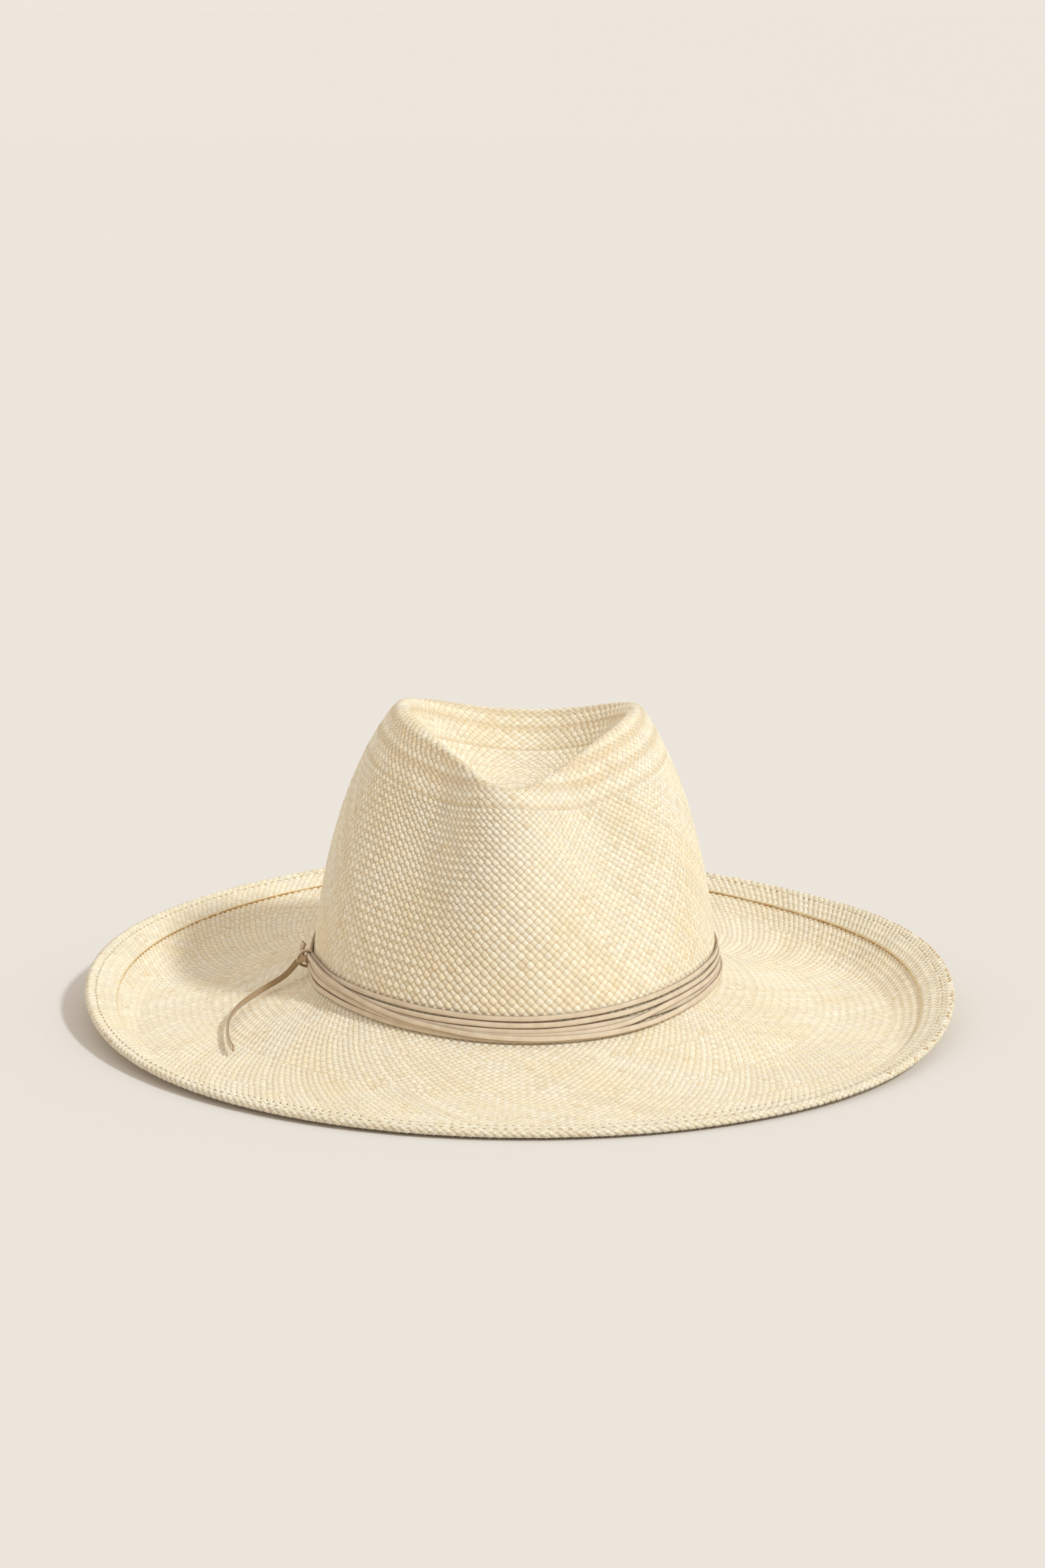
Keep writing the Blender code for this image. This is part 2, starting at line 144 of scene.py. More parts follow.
# ---- the lace
# Each strand of the lace as (degrees from the front, millimetres above the brim, millimetres out).
STRANDS = {
    "lace_strand_top": (
        (-93, 10.8, 0.4), (-86, 11.7, 0.1), (-78, 11.8, 0), (-69, 11.4, 0), (-45, 11.3, 0),
        (-20, 11.1, 0), (0, 11.4, 0), (18, 12.4, 0), (30, 13.3, 0), (45, 14.7, 0),
        (58, 15.7, 0), (80, 15.9, 0), (105, 15.6, 0), (135, 15.2, 0), (180, 14.8, 0),
        (225, 14.6, 0), (250, 14.2, 0), (260, 12.6, 0.1), (267, 10.8, 0.4),
    ),
    "lace_strand_second": (
        (-93, 9.8, 0.6), (-80, 9.9, 0.2), (-66, 9.1, 0.1), (-50, 8.5, 0.2), (-25, 8.4, 0.3), (0, 8.6, 0.3),
        (18, 9.6, 0.2), (30, 10.4, 0.2), (45, 11.9, 0.2), (60, 12.8, 0.2), (80, 13.0, 0.2),
        (105, 12.8, 0.2), (135, 12.4, 0.2), (180, 12.0, 0.2), (225, 11.9, 0.2), (250, 11.6, 0.2),
        (260, 10.8, 0.3), (267, 9.8, 0.6),
    ),
    "lace_strand_third": (
        (-93, 8.8, 0.3), (-78, 7.9, 0), (-60, 7.1, 0), (-45, 6.5, 0), (-25, 5.9, 0),
        (-10, 5.8, 0), (0, 6.0, 0), (18, 6.8, 0), (30, 6.9, -0.1), (40, 7.0, -0.1), (52, 7.3, 0),
        (70, 7.6, 0), (105, 7.5, 0), (135, 7.3, 0), (180, 7.0, 0), (225, 6.9, 0), (250, 7.1, 0.1),
        (267, 8.8, 0.3),
    ),
    "lace_strand_fourth": (
        (-93, 7.4, 0.7), (-80, 5.8, 0.4), (-71, 5.9, 0.3), (-61, 5.9, 0.3), (-52, 5.3, 0.3),
        (-44, 4.7, 0.4), (-30, 4.0, 0.5), (-17, 3.7, 0.6), (-5, 3.9, 0.6), (6, 4.1, 0.7), (16, 4.6, 0.9),
        (24, 5.8, 1.1), (30, 7.2, 1.2), (37, 8.6, 1.1), (46, 9.6, 0.8), (60, 10.1, 0.5), (80, 10.3, 0.3),
        (105, 10.1, 0.3), (135, 9.8, 0.3), (180, 9.5, 0.3), (225, 9.4, 0.3), (250, 9.2, 0.4),
        (267, 8.0, 0.7),
    ),
    "lace_strand_low": (
        (-93, 5.6, 0.5), (-87, 3.9, 0.3), (-81, 2.8, 0.1), (-70, 3.0, 0), (-60, 3.0, 0),
        (-35, 2.5, 0), (-15, 2.0, 0), (0, 1.9, 0), (18, 2.3, 0), (32, 3.2, 0), (46, 4.4, 0),
        (60, 4.9, 0), (80, 4.9, 0), (105, 4.7, 0), (135, 4.6, 0), (180, 4.5, 0), (225, 4.4, 0),
        (250, 4.4, 0.1), (267, 5.8, 0.5),
    ),
    "lace_strand_outer": (
        (-93, 10.4, 1.7), (-85, 11.4, 1.7), (-75, 10.8, 1.6), (-62, 9.1, 1.5), (-50, 7.1, 1.5),
        (-44, 6.1, 1.5), (-35, 5.0, 1.6), (-25, 3.9, 1.7), (-17, 2.9, 1.7), (-3, 1.9, 1.6), (8, 1.9, 1.5),
        (18, 2.3, 1.3), (30, 3.2, 1.2), (46, 5.2, 1.1), (60, 6.4, 1.0), (80, 6.6, 0.9), (105, 6.4, 0.9),
        (135, 6.1, 0.9), (180, 5.8, 0.9), (225, 5.6, 1.0), (250, 5.8, 1.3), (267, 7.0, 1.7),
    ),
}
STRAND_ENDS = (-93.0, 267.5)  # degrees from the front where the strands run into the knot
KNOT_AT = -92.0  # and where the knot is
KNOT_HEIGHT = 0.0084  # of its middle above the brim
KNOT_OUT = 0.0042  # and off the wall
KNOT_UP_REACH = 0.0042  # radii of the turn that wraps the strands
KNOT_OUT_REACH = 0.0034
KNOT_SKEW = 0.0016 / 0.095  # its slant: this far round the wall, over the wall's radius
TAIL_ROUTE = (
    (-0.0960, 0.0092, 0.0212), (-0.0974, 0.0090, 0.0196), (-0.0992, 0.0086, 0.0176),
    (-0.1014, 0.0080, 0.0158), (-0.1040, 0.0070, 0.0142), (-0.1070, 0.0057, 0.0129),
    (-0.1104, 0.0038, 0.0115), (-0.1140, 0.0012, 0.0101), (-0.1174, -0.0020, 0.0089),
    (-0.1206, -0.0062, 0.0078), (-0.1234, -0.0116, 0.0068), (-0.1256, -0.0180, 0.0061),
    (-0.1272, -0.0252, 0.0056), (-0.1282, -0.0330, 0.0053), (-0.1288, -0.0412, 0.0051),
    (-0.1291, -0.0494, 0.0050), (-0.1291, -0.0572, 0.0050), (-0.1287, -0.0645, 0.0051),
    (-0.1280, -0.0712, 0.0053),
)


# ---- camera, floor and light
def add_object(name, data):
    made = bpy.data.objects.new(name, data)
    bpy.context.scene.collection.objects.link(made)
    return made


def camera():
    """Looks a little down at the hat from in front of it, slightly to its right side."""
    data = bpy.data.cameras.new("camera")
    data.lens = 89.2
    data.sensor_width = 36.0
    data.clip_start = 0.05
    data.clip_end = 60.0
    made = add_object("camera", data)
    made.location = (-0.2006, -1.6306, 0.4256)
    turn, fall = math.radians(7.071), math.radians(11.222)
    aim = Vector((math.sin(turn) * math.cos(fall), math.cos(turn) * math.cos(fall), -math.sin(fall)))
    made.rotation_euler = aim.to_track_quat("-Z", "Y").to_euler()
    bpy.context.scene.camera = made


def floor():
    """Pale tabletop: flat all round the hat, and rising gently far away."""
    flat, far, rise, sides = 12.0, 60.0, 7.0, 96
    turns = np.linspace(0, 2 * math.pi, sides, endpoint=False)
    shares = np.linspace(0, 1, 5)
    radii, heights = flat + (far - flat) * shares, rise * shares ** 2
    vertices = [(0.0, 0.0, 0.0)] + [(r * math.cos(t), r * math.sin(t), z)
                                    for r, z in zip(radii, heights) for t in turns]
    faces = [(0, 1 + k, 1 + (k + 1) % sides) for k in range(sides)]
    for ring in range(len(radii) - 1):
        low, high = 1 + ring * sides, 1 + (ring + 1) * sides
        faces += [(low + k, high + k, high + (k + 1) % sides, low + (k + 1) % sides) for k in range(sides)]
    mesh = bpy.data.meshes.new("floor")
    mesh.from_pydata(vertices, [], faces)
    paper = Look("paper", base_color=(0.765, 0.722, 0.69, 1), roughness=0.95, specular_ior_level=0.05)
    mesh.materials.append(paper.made)
    add_object("floor", mesh)


def lights():
    """A soft key from the front on the hat's left side, and a fill that is weaker from the front."""
    height, round_to_front = math.radians(42), math.radians(45)
    fill_middle, fill_swing = 0.76, 0.24
    scene = bpy.context.scene
    scene.view_settings.view_transform = "Standard"
    world = bpy.data.worlds.new("studio")
    scene.world = world
    world.use_nodes = True
    background = world.node_tree.nodes["Background"]
    background.inputs["Color"].default_value = (1.0, 0.945, 0.86, 1)
    wiring = Wiring(world.node_tree)
    to_the_back = wiring.split(wiring.add("TexCoord", {}, "Generated"))["Y"]
    strength = wiring.math("MULTIPLY_ADD", to_the_back, fill_swing, fill_middle)
    wiring.tree.links.new(strength, background.inputs["Strength"])
    data = bpy.data.lights.new("key", "SUN")
    data.energy = 1.78
    data.angle = math.radians(6.0)
    data.color = (0.89, 0.97, 1.0)
    key = add_object("key", data)
    towards = Vector((math.cos(round_to_front), -math.sin(round_to_front), math.tan(height))).normalized()
    key.rotation_euler = towards.to_track_quat("Z", "Y").to_euler()
    key.location = towards * 3


# ---- the hat's surface
UP = np.array([0.0, 0.0, 1.0])


def around(values, angle):
    """A height or width that runs smoothly through its front, side and back values."""
    front, side, back = values
    mean = (front + back) / 4 + side / 2
    swing = (front - back) / 2
    squeeze = (front + back) / 4 - side / 2
    return mean + swing * np.cos(angle) + squeeze * np.cos(2 * angle)


def hump(angle, centre, spread):
    """One at the centre, and falling to nothing either side."""
    away = (angle - centre + math.pi) % (2 * math.pi) - math.pi
    return np.exp(-(away / spread) ** 2)


def humps(angle, centre, spread):
    """The same hump on the left and on the right."""
    return hump(angle, centre, spread) + hump(angle, -centre, spread)


def oval(half_width, half_length, angle):
    return half_width * np.sin(angle), -half_length * np.cos(angle)


def teardrop(angle):
    """Plan outline of the ridge: round at the back, drawn to a point at the pinch."""
    def width(a):
        return np.sin(a) * (1 - RIDGE_POINT * ((1 + np.cos(a)) / 2) ** 2)
    from_pinch = angle - PINCH_ANGLE
    widest = np.max(width(np.linspace(0, math.pi, 721)))
    length = (RIDGE_FRONT + RIDGE_BACK) / 2
    lean = (RIDGE_FRONT - RIDGE_BACK) / 2
    across = RIDGE_HALF_WIDTH * width(from_pinch) / widest
    along = -np.cos(from_pinch) * (length + lean * np.cos(from_pinch))
    return (across * math.cos(PINCH_ANGLE) - along * math.sin(PINCH_ANGLE),
            along * math.cos(PINCH_ANGLE) + across * math.sin(PINCH_ANGLE))


def control_rings(angle):
    """Control points of the profile at each angle, from the crease's centre to the rim."""
    base_x, base_y = oval(BASE_HALF_WIDTH, BASE_HALF_LENGTH, angle)
    ridge_x, ridge_y = teardrop(angle)
    base_x = base_x - BASE_SHIFT
    base_y = base_y + CROWN_SHIFT
    ridge_y = ridge_y + CROWN_SHIFT
    base_z = around(BASE_Z, angle)
    ridge_z = around(RIDGE_Z, angle - PINCH_ANGLE) - RIDGE_LEAN * np.sin(angle)
    centre_y = 2 * CROWN_SHIFT
    one = np.ones_like(angle)
    rings = []

    def ring(x, y, z):
        rings.append(np.stack([x * one, y * one, z * one], -1))

    ring(0.0, centre_y, CREASE_Z)
    for out, up in CREASE:
        ring(ridge_x * out, centre_y + (ridge_y - centre_y) * out, CREASE_Z + (ridge_z - CREASE_Z) * up)

    from_pinch = angle - PINCH_ANGLE
    dent = DENT_DEPTH * humps(from_pinch, DENT_ANGLE, DENT_SPREAD)
    front = ((1 + np.cos(from_pinch)) / 2) ** 3
    for out, up, dented in WALL:
        share = out - FRONT_FLATTEN * math.sin(math.pi * up) * front
        x = ridge_x + (base_x - ridge_x) * share
        y = ridge_y + (base_y - ridge_y) * share
        shrink = 1 - dented * dent / np.hypot(x, y - CROWN_SHIFT)
        ring(x * shrink, CROWN_SHIFT + (y - CROWN_SHIFT) * shrink, base_z + (ridge_z - base_z) * up)

    rim_x, rim_y = oval(RIM_HALF_WIDTH, RIM_HALF_LENGTH, angle)
    curl = sum(height * hump(angle, centre, spread) for centre, spread, height in (CURL_RIGHT, CURL_LEFT))
    rim_z = around(RIM_Z, angle) + curl
    hem_rise = around(HEM_RISE, angle) + curl * CURL_IN_HEM
    hem_z = rim_z - hem_rise
    hem_share = 1 - HEM_WIDTH / np.hypot(rim_x - base_x, rim_y - base_y)
    dip = hem_z - DIP_DEPTH * humps(angle, DIP_ANGLE, DIP_SPREAD)

    def brim(share, z):
        ring(base_x + (rim_x - base_x) * share, base_y + (rim_y - base_y) * share, z)

    for out, down in BRIM:
        brim(out, base_z + (dip - base_z) * down)
    brim(hem_share - TURN_UP, dip)
    brim(hem_share, hem_z)
    brim((1 + hem_share) / 2, (hem_z + rim_z) / 2)
    brim(one, rim_z)
    return np.array(rings)


def spline_weights(parameters, count):
    """Weights of a clamped cubic B-spline with this many control points."""
    degree = 3
    inner = np.linspace(0, 1, count - degree + 1)
    knots = np.concatenate([np.zeros(degree), inner, np.ones(degree)])
    at = np.minimum(np.asarray(parameters, float), 1 - 1e-9)
    weights = np.array([(at >= low) & (at < high) for low, high in zip(knots, knots[1:])], float).T
    for order in range(1, degree + 1):
        raised = np.zeros((len(at), weights.shape[1] - 1))
        for i in range(raised.shape[1]):
            rise = knots[i + order] - knots[i]
            fall = knots[i + order + 1] - knots[i + 1]
            if rise > 0:
                raised[:, i] += (at - knots[i]) / rise * weights[:, i]
            if fall > 0:
                raised[:, i] += (knots[i + order + 1] - at) / fall * weights[:, i + 1]
        weights = raised
    return weights


def resting(height):
    """The height where it is above the table, and flat on the table where it would be below."""
    above = height - STRAW / 2
    rounded = (above + REST_BLEND) ** 2 / (4 * REST_BLEND)
    return STRAW / 2 + np.where(above > REST_BLEND, above, np.where(above < -REST_BLEND, 0, rounded))


def surface(parameters, angles):
    """Middle of the straw at each parameter (0 crease centre, 1 rim) and angle."""
    rings = control_rings(np.asarray(angles, float))
    points = np.tensordot(spline_weights(parameters, len(rings)), rings, (1, 0))
    points[..., 2] = resting(points[..., 2])
    return points


def run_along(points):
    """Distance covered along the first axis of a grid of points."""
    steps = np.linalg.norm(np.diff(points, axis=0), axis=-1)
    return np.concatenate([np.zeros((1, steps.shape[1])), np.cumsum(steps, axis=0)])


def line_run(points):
    """Distance covered along one line of points."""
    return run_along(points[:, None])[:, 0]


def sampled(at, known, points):
    """A line of points, known at some places along it, read at others."""
    return np.stack([np.interp(at, known, points[:, axis]) for axis in range(3)], 1)


def unit(vectors):
    return vectors / np.maximum(np.linalg.norm(vectors, axis=-1, keepdims=True), 1e-12)


def flow_of(points, closed=False):
    """The way a line of points runs at each of them."""
    return unit(np.roll(points, -1, 0) - np.roll(points, 1, 0) if closed else np.gradient(points, axis=0))


def directions(points):
    """Along the rows and off the surface, at each point of a grid whose columns run round the hat."""
    along = np.gradient(points, axis=0)
    across = np.roll(points[:, :-1], -1, 1) - np.roll(points[:, :-1], 1, 1)
    across = np.concatenate([across, across[:, :1]], 1)
    return unit(along), unit(np.cross(along, across))


def read_between(table, row, column):
    """A table's value between its rows and columns."""
    i = np.minimum(row.astype(int), table.shape[0] - 2)
    j = np.minimum(column.astype(int), table.shape[1] - 2)
    down, over = (row - i)[..., None], (column - j)[..., None]
    near = table[i, j] * (1 - over) + table[i, j + 1] * over
    far = table[i + 1, j] * (1 - over) + table[i + 1, j + 1] * over
    return near * (1 - down) + far * down


class Shell:
    """The straw's middle surface, looked up by distance from the crease's centre and by turn."""

    def __init__(self):
        parameters = np.linspace(0, 1, TABLE_ROWS)
        angles = np.linspace(-math.pi, math.pi, TABLE_TURNS + 1)
        points = surface(parameters, angles)
        run = run_along(points)
        distances = np.linspace(0, BODY_RUN, TABLE_ROWS)
        rings = np.zeros_like(points)
        for j in range(TABLE_TURNS + 1):
            base = np.interp(BASE_PARAMETER, parameters, run[:, j])
            measure = np.interp(run[:, j], [0, base, run[-1, j]], [0, CROWN_RUN, BODY_RUN])
            rings[:, j] = sampled(distances, measure, points[:, j])
        self.points = np.zeros_like(points)
        self.round = np.zeros(TABLE_ROWS)
        even = np.linspace(0, 1, TABLE_TURNS + 1)
        for i in range(TABLE_ROWS):
            length = line_run(rings[i])
            self.round[i] = length[-1]
            share = length / length[-1] if i else even
            self.points[i] = sampled(even, share, rings[i])
        self.outward, self.normals = directions(self.points)
        self.normals[0] = self.normals[1]
        self.distances = distances

    def look_up(self, table, distance, turn):
        row = np.clip(distance / BODY_RUN, 0, 1) * (TABLE_ROWS - 1)
        return read_between(table, row, (turn % 1.0) * TABLE_TURNS)

    def place(self, distance, turn, lift):
        normal = unit(self.look_up(self.normals, distance, turn))
        return self.look_up(self.points, distance, turn) + normal * lift[..., None]

    def circumference(self, distance):
        return np.interp(distance, self.distances, self.round)


# ---- meshes
NO_TRIANGLES = np.zeros((0, 3), int)


def make_mesh(name, points, quads, material, triangles=NO_TRIANGLES):
    mesh = bpy.data.meshes.new(name)
    mesh.vertices.add(len(points))
    mesh.vertices.foreach_set("co", np.asarray(points, np.float32).ravel())
    corners = np.concatenate([quads.ravel(), triangles.ravel()]).astype(np.int32)
    starts = np.concatenate([np.arange(len(quads)) * 4, len(quads) * 4 + np.arange(len(triangles)) * 3])
    mesh.loops.add(len(corners))
    mesh.loops.foreach_set("vertex_index", corners)
    mesh.polygons.add(len(starts))
    mesh.polygons.foreach_set("loop_start", starts.astype(np.int32))
    mesh.update(calc_edges=True)
    mesh.shade_smooth()
    mesh.materials.append(material)
    return add_object(name, mesh)


def ring_quads(rings, sides, closed=False):
    """Faces between rings of points that follow one another; closed joins the last to the first."""
    i, j = np.divmod(np.arange((rings if closed else rings - 1) * sides), sides)
    low, high, after = i * sides, (i + 1) % rings * sides, (j + 1) % sides
    return np.stack([low + j, high + j, high + after, low + after], 1)


def set_attribute(mesh, name, domain, values):
    kind = "FLOAT_VECTOR" if values.ndim == 2 else "FLOAT"
    attribute = mesh.attributes.new(name, kind, domain)
    key = "vector" if values.ndim == 2 else "value"
    attribute.data.foreach_set(key, values.astype(np.float32).ravel())


INNER_NODES = {2: (0.0, 0.5), 3: (0.0, 0.20, 0.80)}  # of one straw, across it
CORNER_DEPTH = -0.00042  # at the holes between four straws
RING_DEPTH = -0.00016  # where two rings of weave meet
END_DEPTH = -0.00014  # where a straw dips under the next one
SIDE_DEPTH = -0.00030  # between neighbouring straws
OVER_TOP = 0.00026  # straws that run down to the right
UNDER_TOP = 0.00010  # and those that cross them
BULGE = 0.07  # how far the upper straws spread over the lower, in widths
STRAW_JITTER = 0.045  # how far a straw's edge strays, in widths
TOP_JITTER = 0.00005  # and its top
MARKED_FROM = 0.040  # rings nearer the crease's centre than this are not darkened
MARKED = 2.0  # spot value of straws that are darkened; the others' are 0 to 1
ZONE_SAMPLES = 80  # distances at which a zone's circumference is taken
PATCHES = 4096  # random values to choose from for one straw's visible patches
WHOLE_FACE = ((0, 0), (1, -1), (2, 0), (1, 1))  # corners, in steps of i + j and i - j
BOTTOM_FACE = ((1, 1), (1, -1), (2, 0))
TOP_FACE = ((0, 0), (1, -1), (1, 1))


def patch_number(p, q):
    """Scatters neighbouring patches over the random values, by two primes."""
    return (p * 7919 + q * 104729) % PATCHES


def weave_zone(circumference, start, end, cuts, place, relief, draw, mark, ringed):
    """One ring of plain weave laid on the diagonal between two distances.

    The nodes lie on lines i and j that run down to the right and down to the left; i + j grows
    with the distance and i - j with the turn. Each straw's visible patch is cuts by cuts faces.
    """
    grid = np.linspace(start, end, ZONE_SAMPLES)
    cells = max(6, int(round(float(np.mean(circumference(grid))) / PERIOD)))
    pace = cells / circumference(grid)
    rows_run = np.concatenate([[0], np.cumsum((pace[1:] + pace[:-1]) / 2 * np.diff(grid))])
    half_rows = max(1, int(round(2 * rows_run[-1])))
    rows_run = rows_run / rows_run[-1] * half_rows / 2

    rows, per_row = half_rows * cuts, cells * cuts
    s = np.repeat(np.arange(rows + 1), per_row)
    d = 2 * np.tile(np.arange(per_row), rows + 1) + s % 2
    i, j = (s + d) // 2, (s - d) // 2
    p, q = i // cuts, j // cuts
    at_i, at_j = i % cuts, j % cuts
    share = np.array(INNER_NODES[cuts])
    over = (p + q) % 2 == 0
    side = np.where(over, 1.0, -1.0)
    edge_row = (s == 0) | (s == rows)

    shift_p = draw.uniform(-STRAW_JITTER, STRAW_JITTER, cells)
    shift_q = draw.uniform(-STRAW_JITTER, STRAW_JITTER, cells)

    def strayed(number, part, shift):
        """Place across the straws: the straw's number, the part of its width, and its edges' shifts."""
        return number + part + shift[number % cells] * (1 - part) + shift[(number + 1) % cells] * part

    along, across = strayed(p, share[at_i], shift_p), strayed(q, share[at_j], shift_q)
    on_p, on_q = at_i == 0, at_j == 0
    along = along - np.where(on_p & ~on_q, BULGE * side, 0)
    across = across - np.where(on_q & ~on_p, BULGE * side, 0)
    if cuts > 2:
        inside = ~on_p & ~on_q
        along = along + np.where(inside, BULGE / 2 * side * np.sign(at_i - cuts / 2), 0)
        across = across + np.where(inside, BULGE / 2 * side * np.sign(at_j - cuts / 2), 0)
    along = np.where(edge_row, p + share[at_i], along)
    across = np.where(edge_row, q + share[at_j], across)

    patch_top = np.where(over, OVER_TOP, UNDER_TOP)
    patch_top = patch_top + draw.uniform(-TOP_JITTER, TOP_JITTER, PATCHES)[patch_number(p, q)]
    level = np.where(on_p & on_q, CORNER_DEPTH,
                     np.where(on_p, END_DEPTH, np.where(on_q, SIDE_DEPTH, patch_top)))
    level = np.where(edge_row, RING_DEPTH, level) * relief
    distance = np.interp((along + across) / 2, rows_run, grid)
    turn = (along - across) / 2 / cells
    points = place(distance, turn, level)

    def node(s_at, d_at):
        return s_at * per_row + (d_at % (2 * per_row)) // 2

    base_s = np.repeat(np.arange(-1, rows), per_row)
    base_d = 2 * np.tile(np.arange(per_row), rows + 1) + base_s % 2
    whole = (base_s >= 0) & (base_s < rows - 1)
    low, high = base_s < 0, base_s == rows - 1

    def corners(which, steps):
        return np.stack([node(base_s[which] + a, base_d[which] + b) for a, b in steps], 1)

    kinds = ((whole, WHOLE_FACE), (low, BOTTOM_FACE), (high, TOP_FACE))
    quads, bottom, top = (corners(which, steps) for which, steps in kinds)
    order = np.concatenate([np.flatnonzero(which) for which, _ in kinds])
    face_i = ((base_s + base_d) // 2)[order]
    face_j = ((base_s - base_d) // 2)[order]
    face_p, face_q = face_i // cuts, face_j // cuts
    face_s, face_d = base_s[order], base_d[order]
    steps_s, steps_d = np.concatenate([np.tile(steps, (np.count_nonzero(which), 1))
                                       for which, steps in kinds]).T
    steps_i, steps_j = (steps_s + steps_d) // 2, (steps_s - steps_d) // 2
    sides = np.concatenate([np.full(len(quads), 4), np.full(len(bottom) + len(top), 3)])
    full_share = np.append(share, 1.0)
    corner_p = 2 * full_share[np.repeat(face_i % cuts, sides) + steps_i] - 1
    corner_q = 2 * full_share[np.repeat(face_j % cuts, sides) + steps_j] - 1
    upper = (face_p + face_q) % 2 == 0
    corner_upper = np.repeat(upper, sides)
    corner_along = np.where(corner_upper, corner_p, corner_q)
    corner_across = np.where(corner_upper, corner_q, corner_p)
    weave = np.stack([corner_along, corner_across, corner_upper.astype(float)], 1)

    straw_key = np.where(upper, face_q % cells, face_p % cells)
    hue = draw.uniform(0, 1, (2, cells))
    value = draw.uniform(0, 1, (2, cells))
    spot = draw.uniform(0, 1, PATCHES)[patch_number(face_p, face_q)]
    if mark is not None:
        face_distance = face_s / rows * (end - start) + start
        spot = np.where(mark(face_distance, face_d / (2 * per_row), spot), MARKED, spot)
    if ringed and start > MARKED_FROM:
        spot = np.where((face_s < cuts) | (face_s > rows - 1.5 * cuts), MARKED, spot)
    kind = np.where(upper, 0, 1)
    tint = np.stack([hue[kind, straw_key], value[kind, straw_key], spot], 1)
    straw_run = np.where(corner_upper, np.repeat(face_p, sides), np.repeat(face_q, sides))
    fibre = np.stack([straw_run + (corner_along + 1) / 2, corner_across / 2,
                      np.repeat(straw_key + 1000.0 * kind, sides)], 1)
    return {"points": points, "quads": quads, "triangles": np.concatenate([bottom, top]),
            "weave": weave, "tint": tint, "fibre": fibre, "per_row": per_row}


def woven(name, circumference, rings, cuts, place, material, seed, relief=1.0, outside=True,
          closed=False, mark=None, ringed=False):
    """A woven sheet of several zones, joined into one mesh.

    Closed fills the hole in its middle, mark tells which straws are darkened, and ringed darkens
    those where two zones meet.
    """
    draw = np.random.default_rng(seed)
    zones = [weave_zone(circumference, start, end, cuts, place, relief, draw, mark, ringed)
             for start, end in zip(rings, rings[1:])]
    points = np.concatenate([zone["points"] for zone in zones])
    shifts = np.cumsum([0] + [len(zone["points"]) for zone in zones])
    quads = np.concatenate([zone["quads"] + shift for zone, shift in zip(zones, shifts)])
    triangles = np.concatenate([zone["triangles"] + shift for zone, shift in zip(zones, shifts)])
    attributes = {}
    for key, each in (("weave", 4), ("fibre", 4), ("tint", 1)):
        heads = [zone[key][:each * len(zone["quads"])] for zone in zones]
        tails = [zone[key][each * len(zone["quads"]):] for zone in zones]
        attributes[key] = np.concatenate(heads + tails)
    if closed:
        ring = np.arange(zones[0]["per_row"])
        centre = np.full(len(ring), len(points))
        points = np.concatenate([points, place(np.zeros(1), np.zeros(1), np.zeros(1))])
        triangles = np.concatenate([triangles, np.stack([ring, (ring + 1) % len(ring), centre], 1)])
        for key in ("weave", "fibre"):
            attributes[key] = np.concatenate([attributes[key], np.tile((0.0, 0.0, 1.0), (3 * len(ring), 1))])
        attributes["tint"] = np.concatenate([attributes["tint"], np.full((len(ring), 3), 0.5)])
    made = make_mesh(name, points, quads, material, triangles)
    for key, domain in (("weave", "CORNER"), ("fibre", "CORNER"), ("tint", "FACE")):
        set_attribute(made.data, key, domain, attributes[key])
    if not outside:
        made.data.flip_normals()
    return made


# ---- materials
class Wiring:
    """A node tree being wired up: each method adds a node and returns its output socket."""

    def __init__(self, tree):
        self.tree = tree

    def add(self, kind, inputs, output=0, **settings):
        node = self.tree.nodes.new("ShaderNode" + kind)
        for key, value in settings.items():
            setattr(node, key, value)
        for key, value in inputs.items():
            socket = node.inputs[key]
            if isinstance(value, bpy.types.NodeSocket):
                self.tree.links.new(value, socket)
            else:
                socket.default_value = value
        return node.outputs[output]

    def attribute(self, name):
        return self.add("Attribute", {}, output="Vector", attribute_name=name)

    def split(self, vector):
        node = self.tree.nodes.new("ShaderNodeSeparateXYZ")
        self.tree.links.new(vector, node.inputs[0])
        return node.outputs

    def place(self):
        return self.add("TexCoord", {}, output="Object")

    def math(self, operation, first, second=0.0, third=0.0):
        return self.add("Math", {0: first, 1: second, 2: third}, operation=operation)

    def smooth(self, value, low, high, start=0.0, stop=1.0):
        inputs = {"Value": value, "From Min": low, "From Max": high, "To Min": start, "To Max": stop}
        return self.add("MapRange", inputs, interpolation_type="SMOOTHSTEP")

    def stretch(self, vector, factors):
        return self.add("VectorMath", {0: vector, 1: factors}, operation="MULTIPLY")

    def noise(self, vector, scale, detail=2.0, roughness=0.5):
        return self.add("TexNoise", {"Vector": vector, "Scale": scale, "Detail": detail,
                                     "Roughness": roughness})

    def mix(self, share, first, second, blend="MIX"):
        return self.add("MixRGB", {"Fac": share, "Color1": first, "Color2": second}, blend_type=blend)

    def bump(self, height, distance, strength=1.0):
        return self.add("Bump", {"Height": height, "Distance": distance, "Strength": strength})


class Look(Wiring):
    """A material, starting from its finish: the values that are the same everywhere on it."""

    def __init__(self, name, **finish):
        self.made = bpy.data.materials.new(name)
        self.made.use_nodes = True
        super().__init__(self.made.node_tree)
        self.shader = self.tree.nodes["Principled BSDF"]
        for key, value in finish.items():
            self.shader.inputs[key.replace("_", " ").title().replace("Ior", "IOR")].default_value = value

    def finish(self, colour=None, roughness=None, normal=None):
        for key, value in (("Base Color", colour), ("Roughness", roughness), ("Normal", normal)):
            if value is not None:
                self.tree.links.new(value, self.shader.inputs[key])
        return self.made


PAINTED_SHADE_AND_STAIN = (0.62, 0.42, 0.19, 1)  # painted shade on straw between its neighbours and where it dives under the next; also the colour of stains
SCORCH = (0.50, 0.29, 0.11, 1)  # gap beside a darkened straw


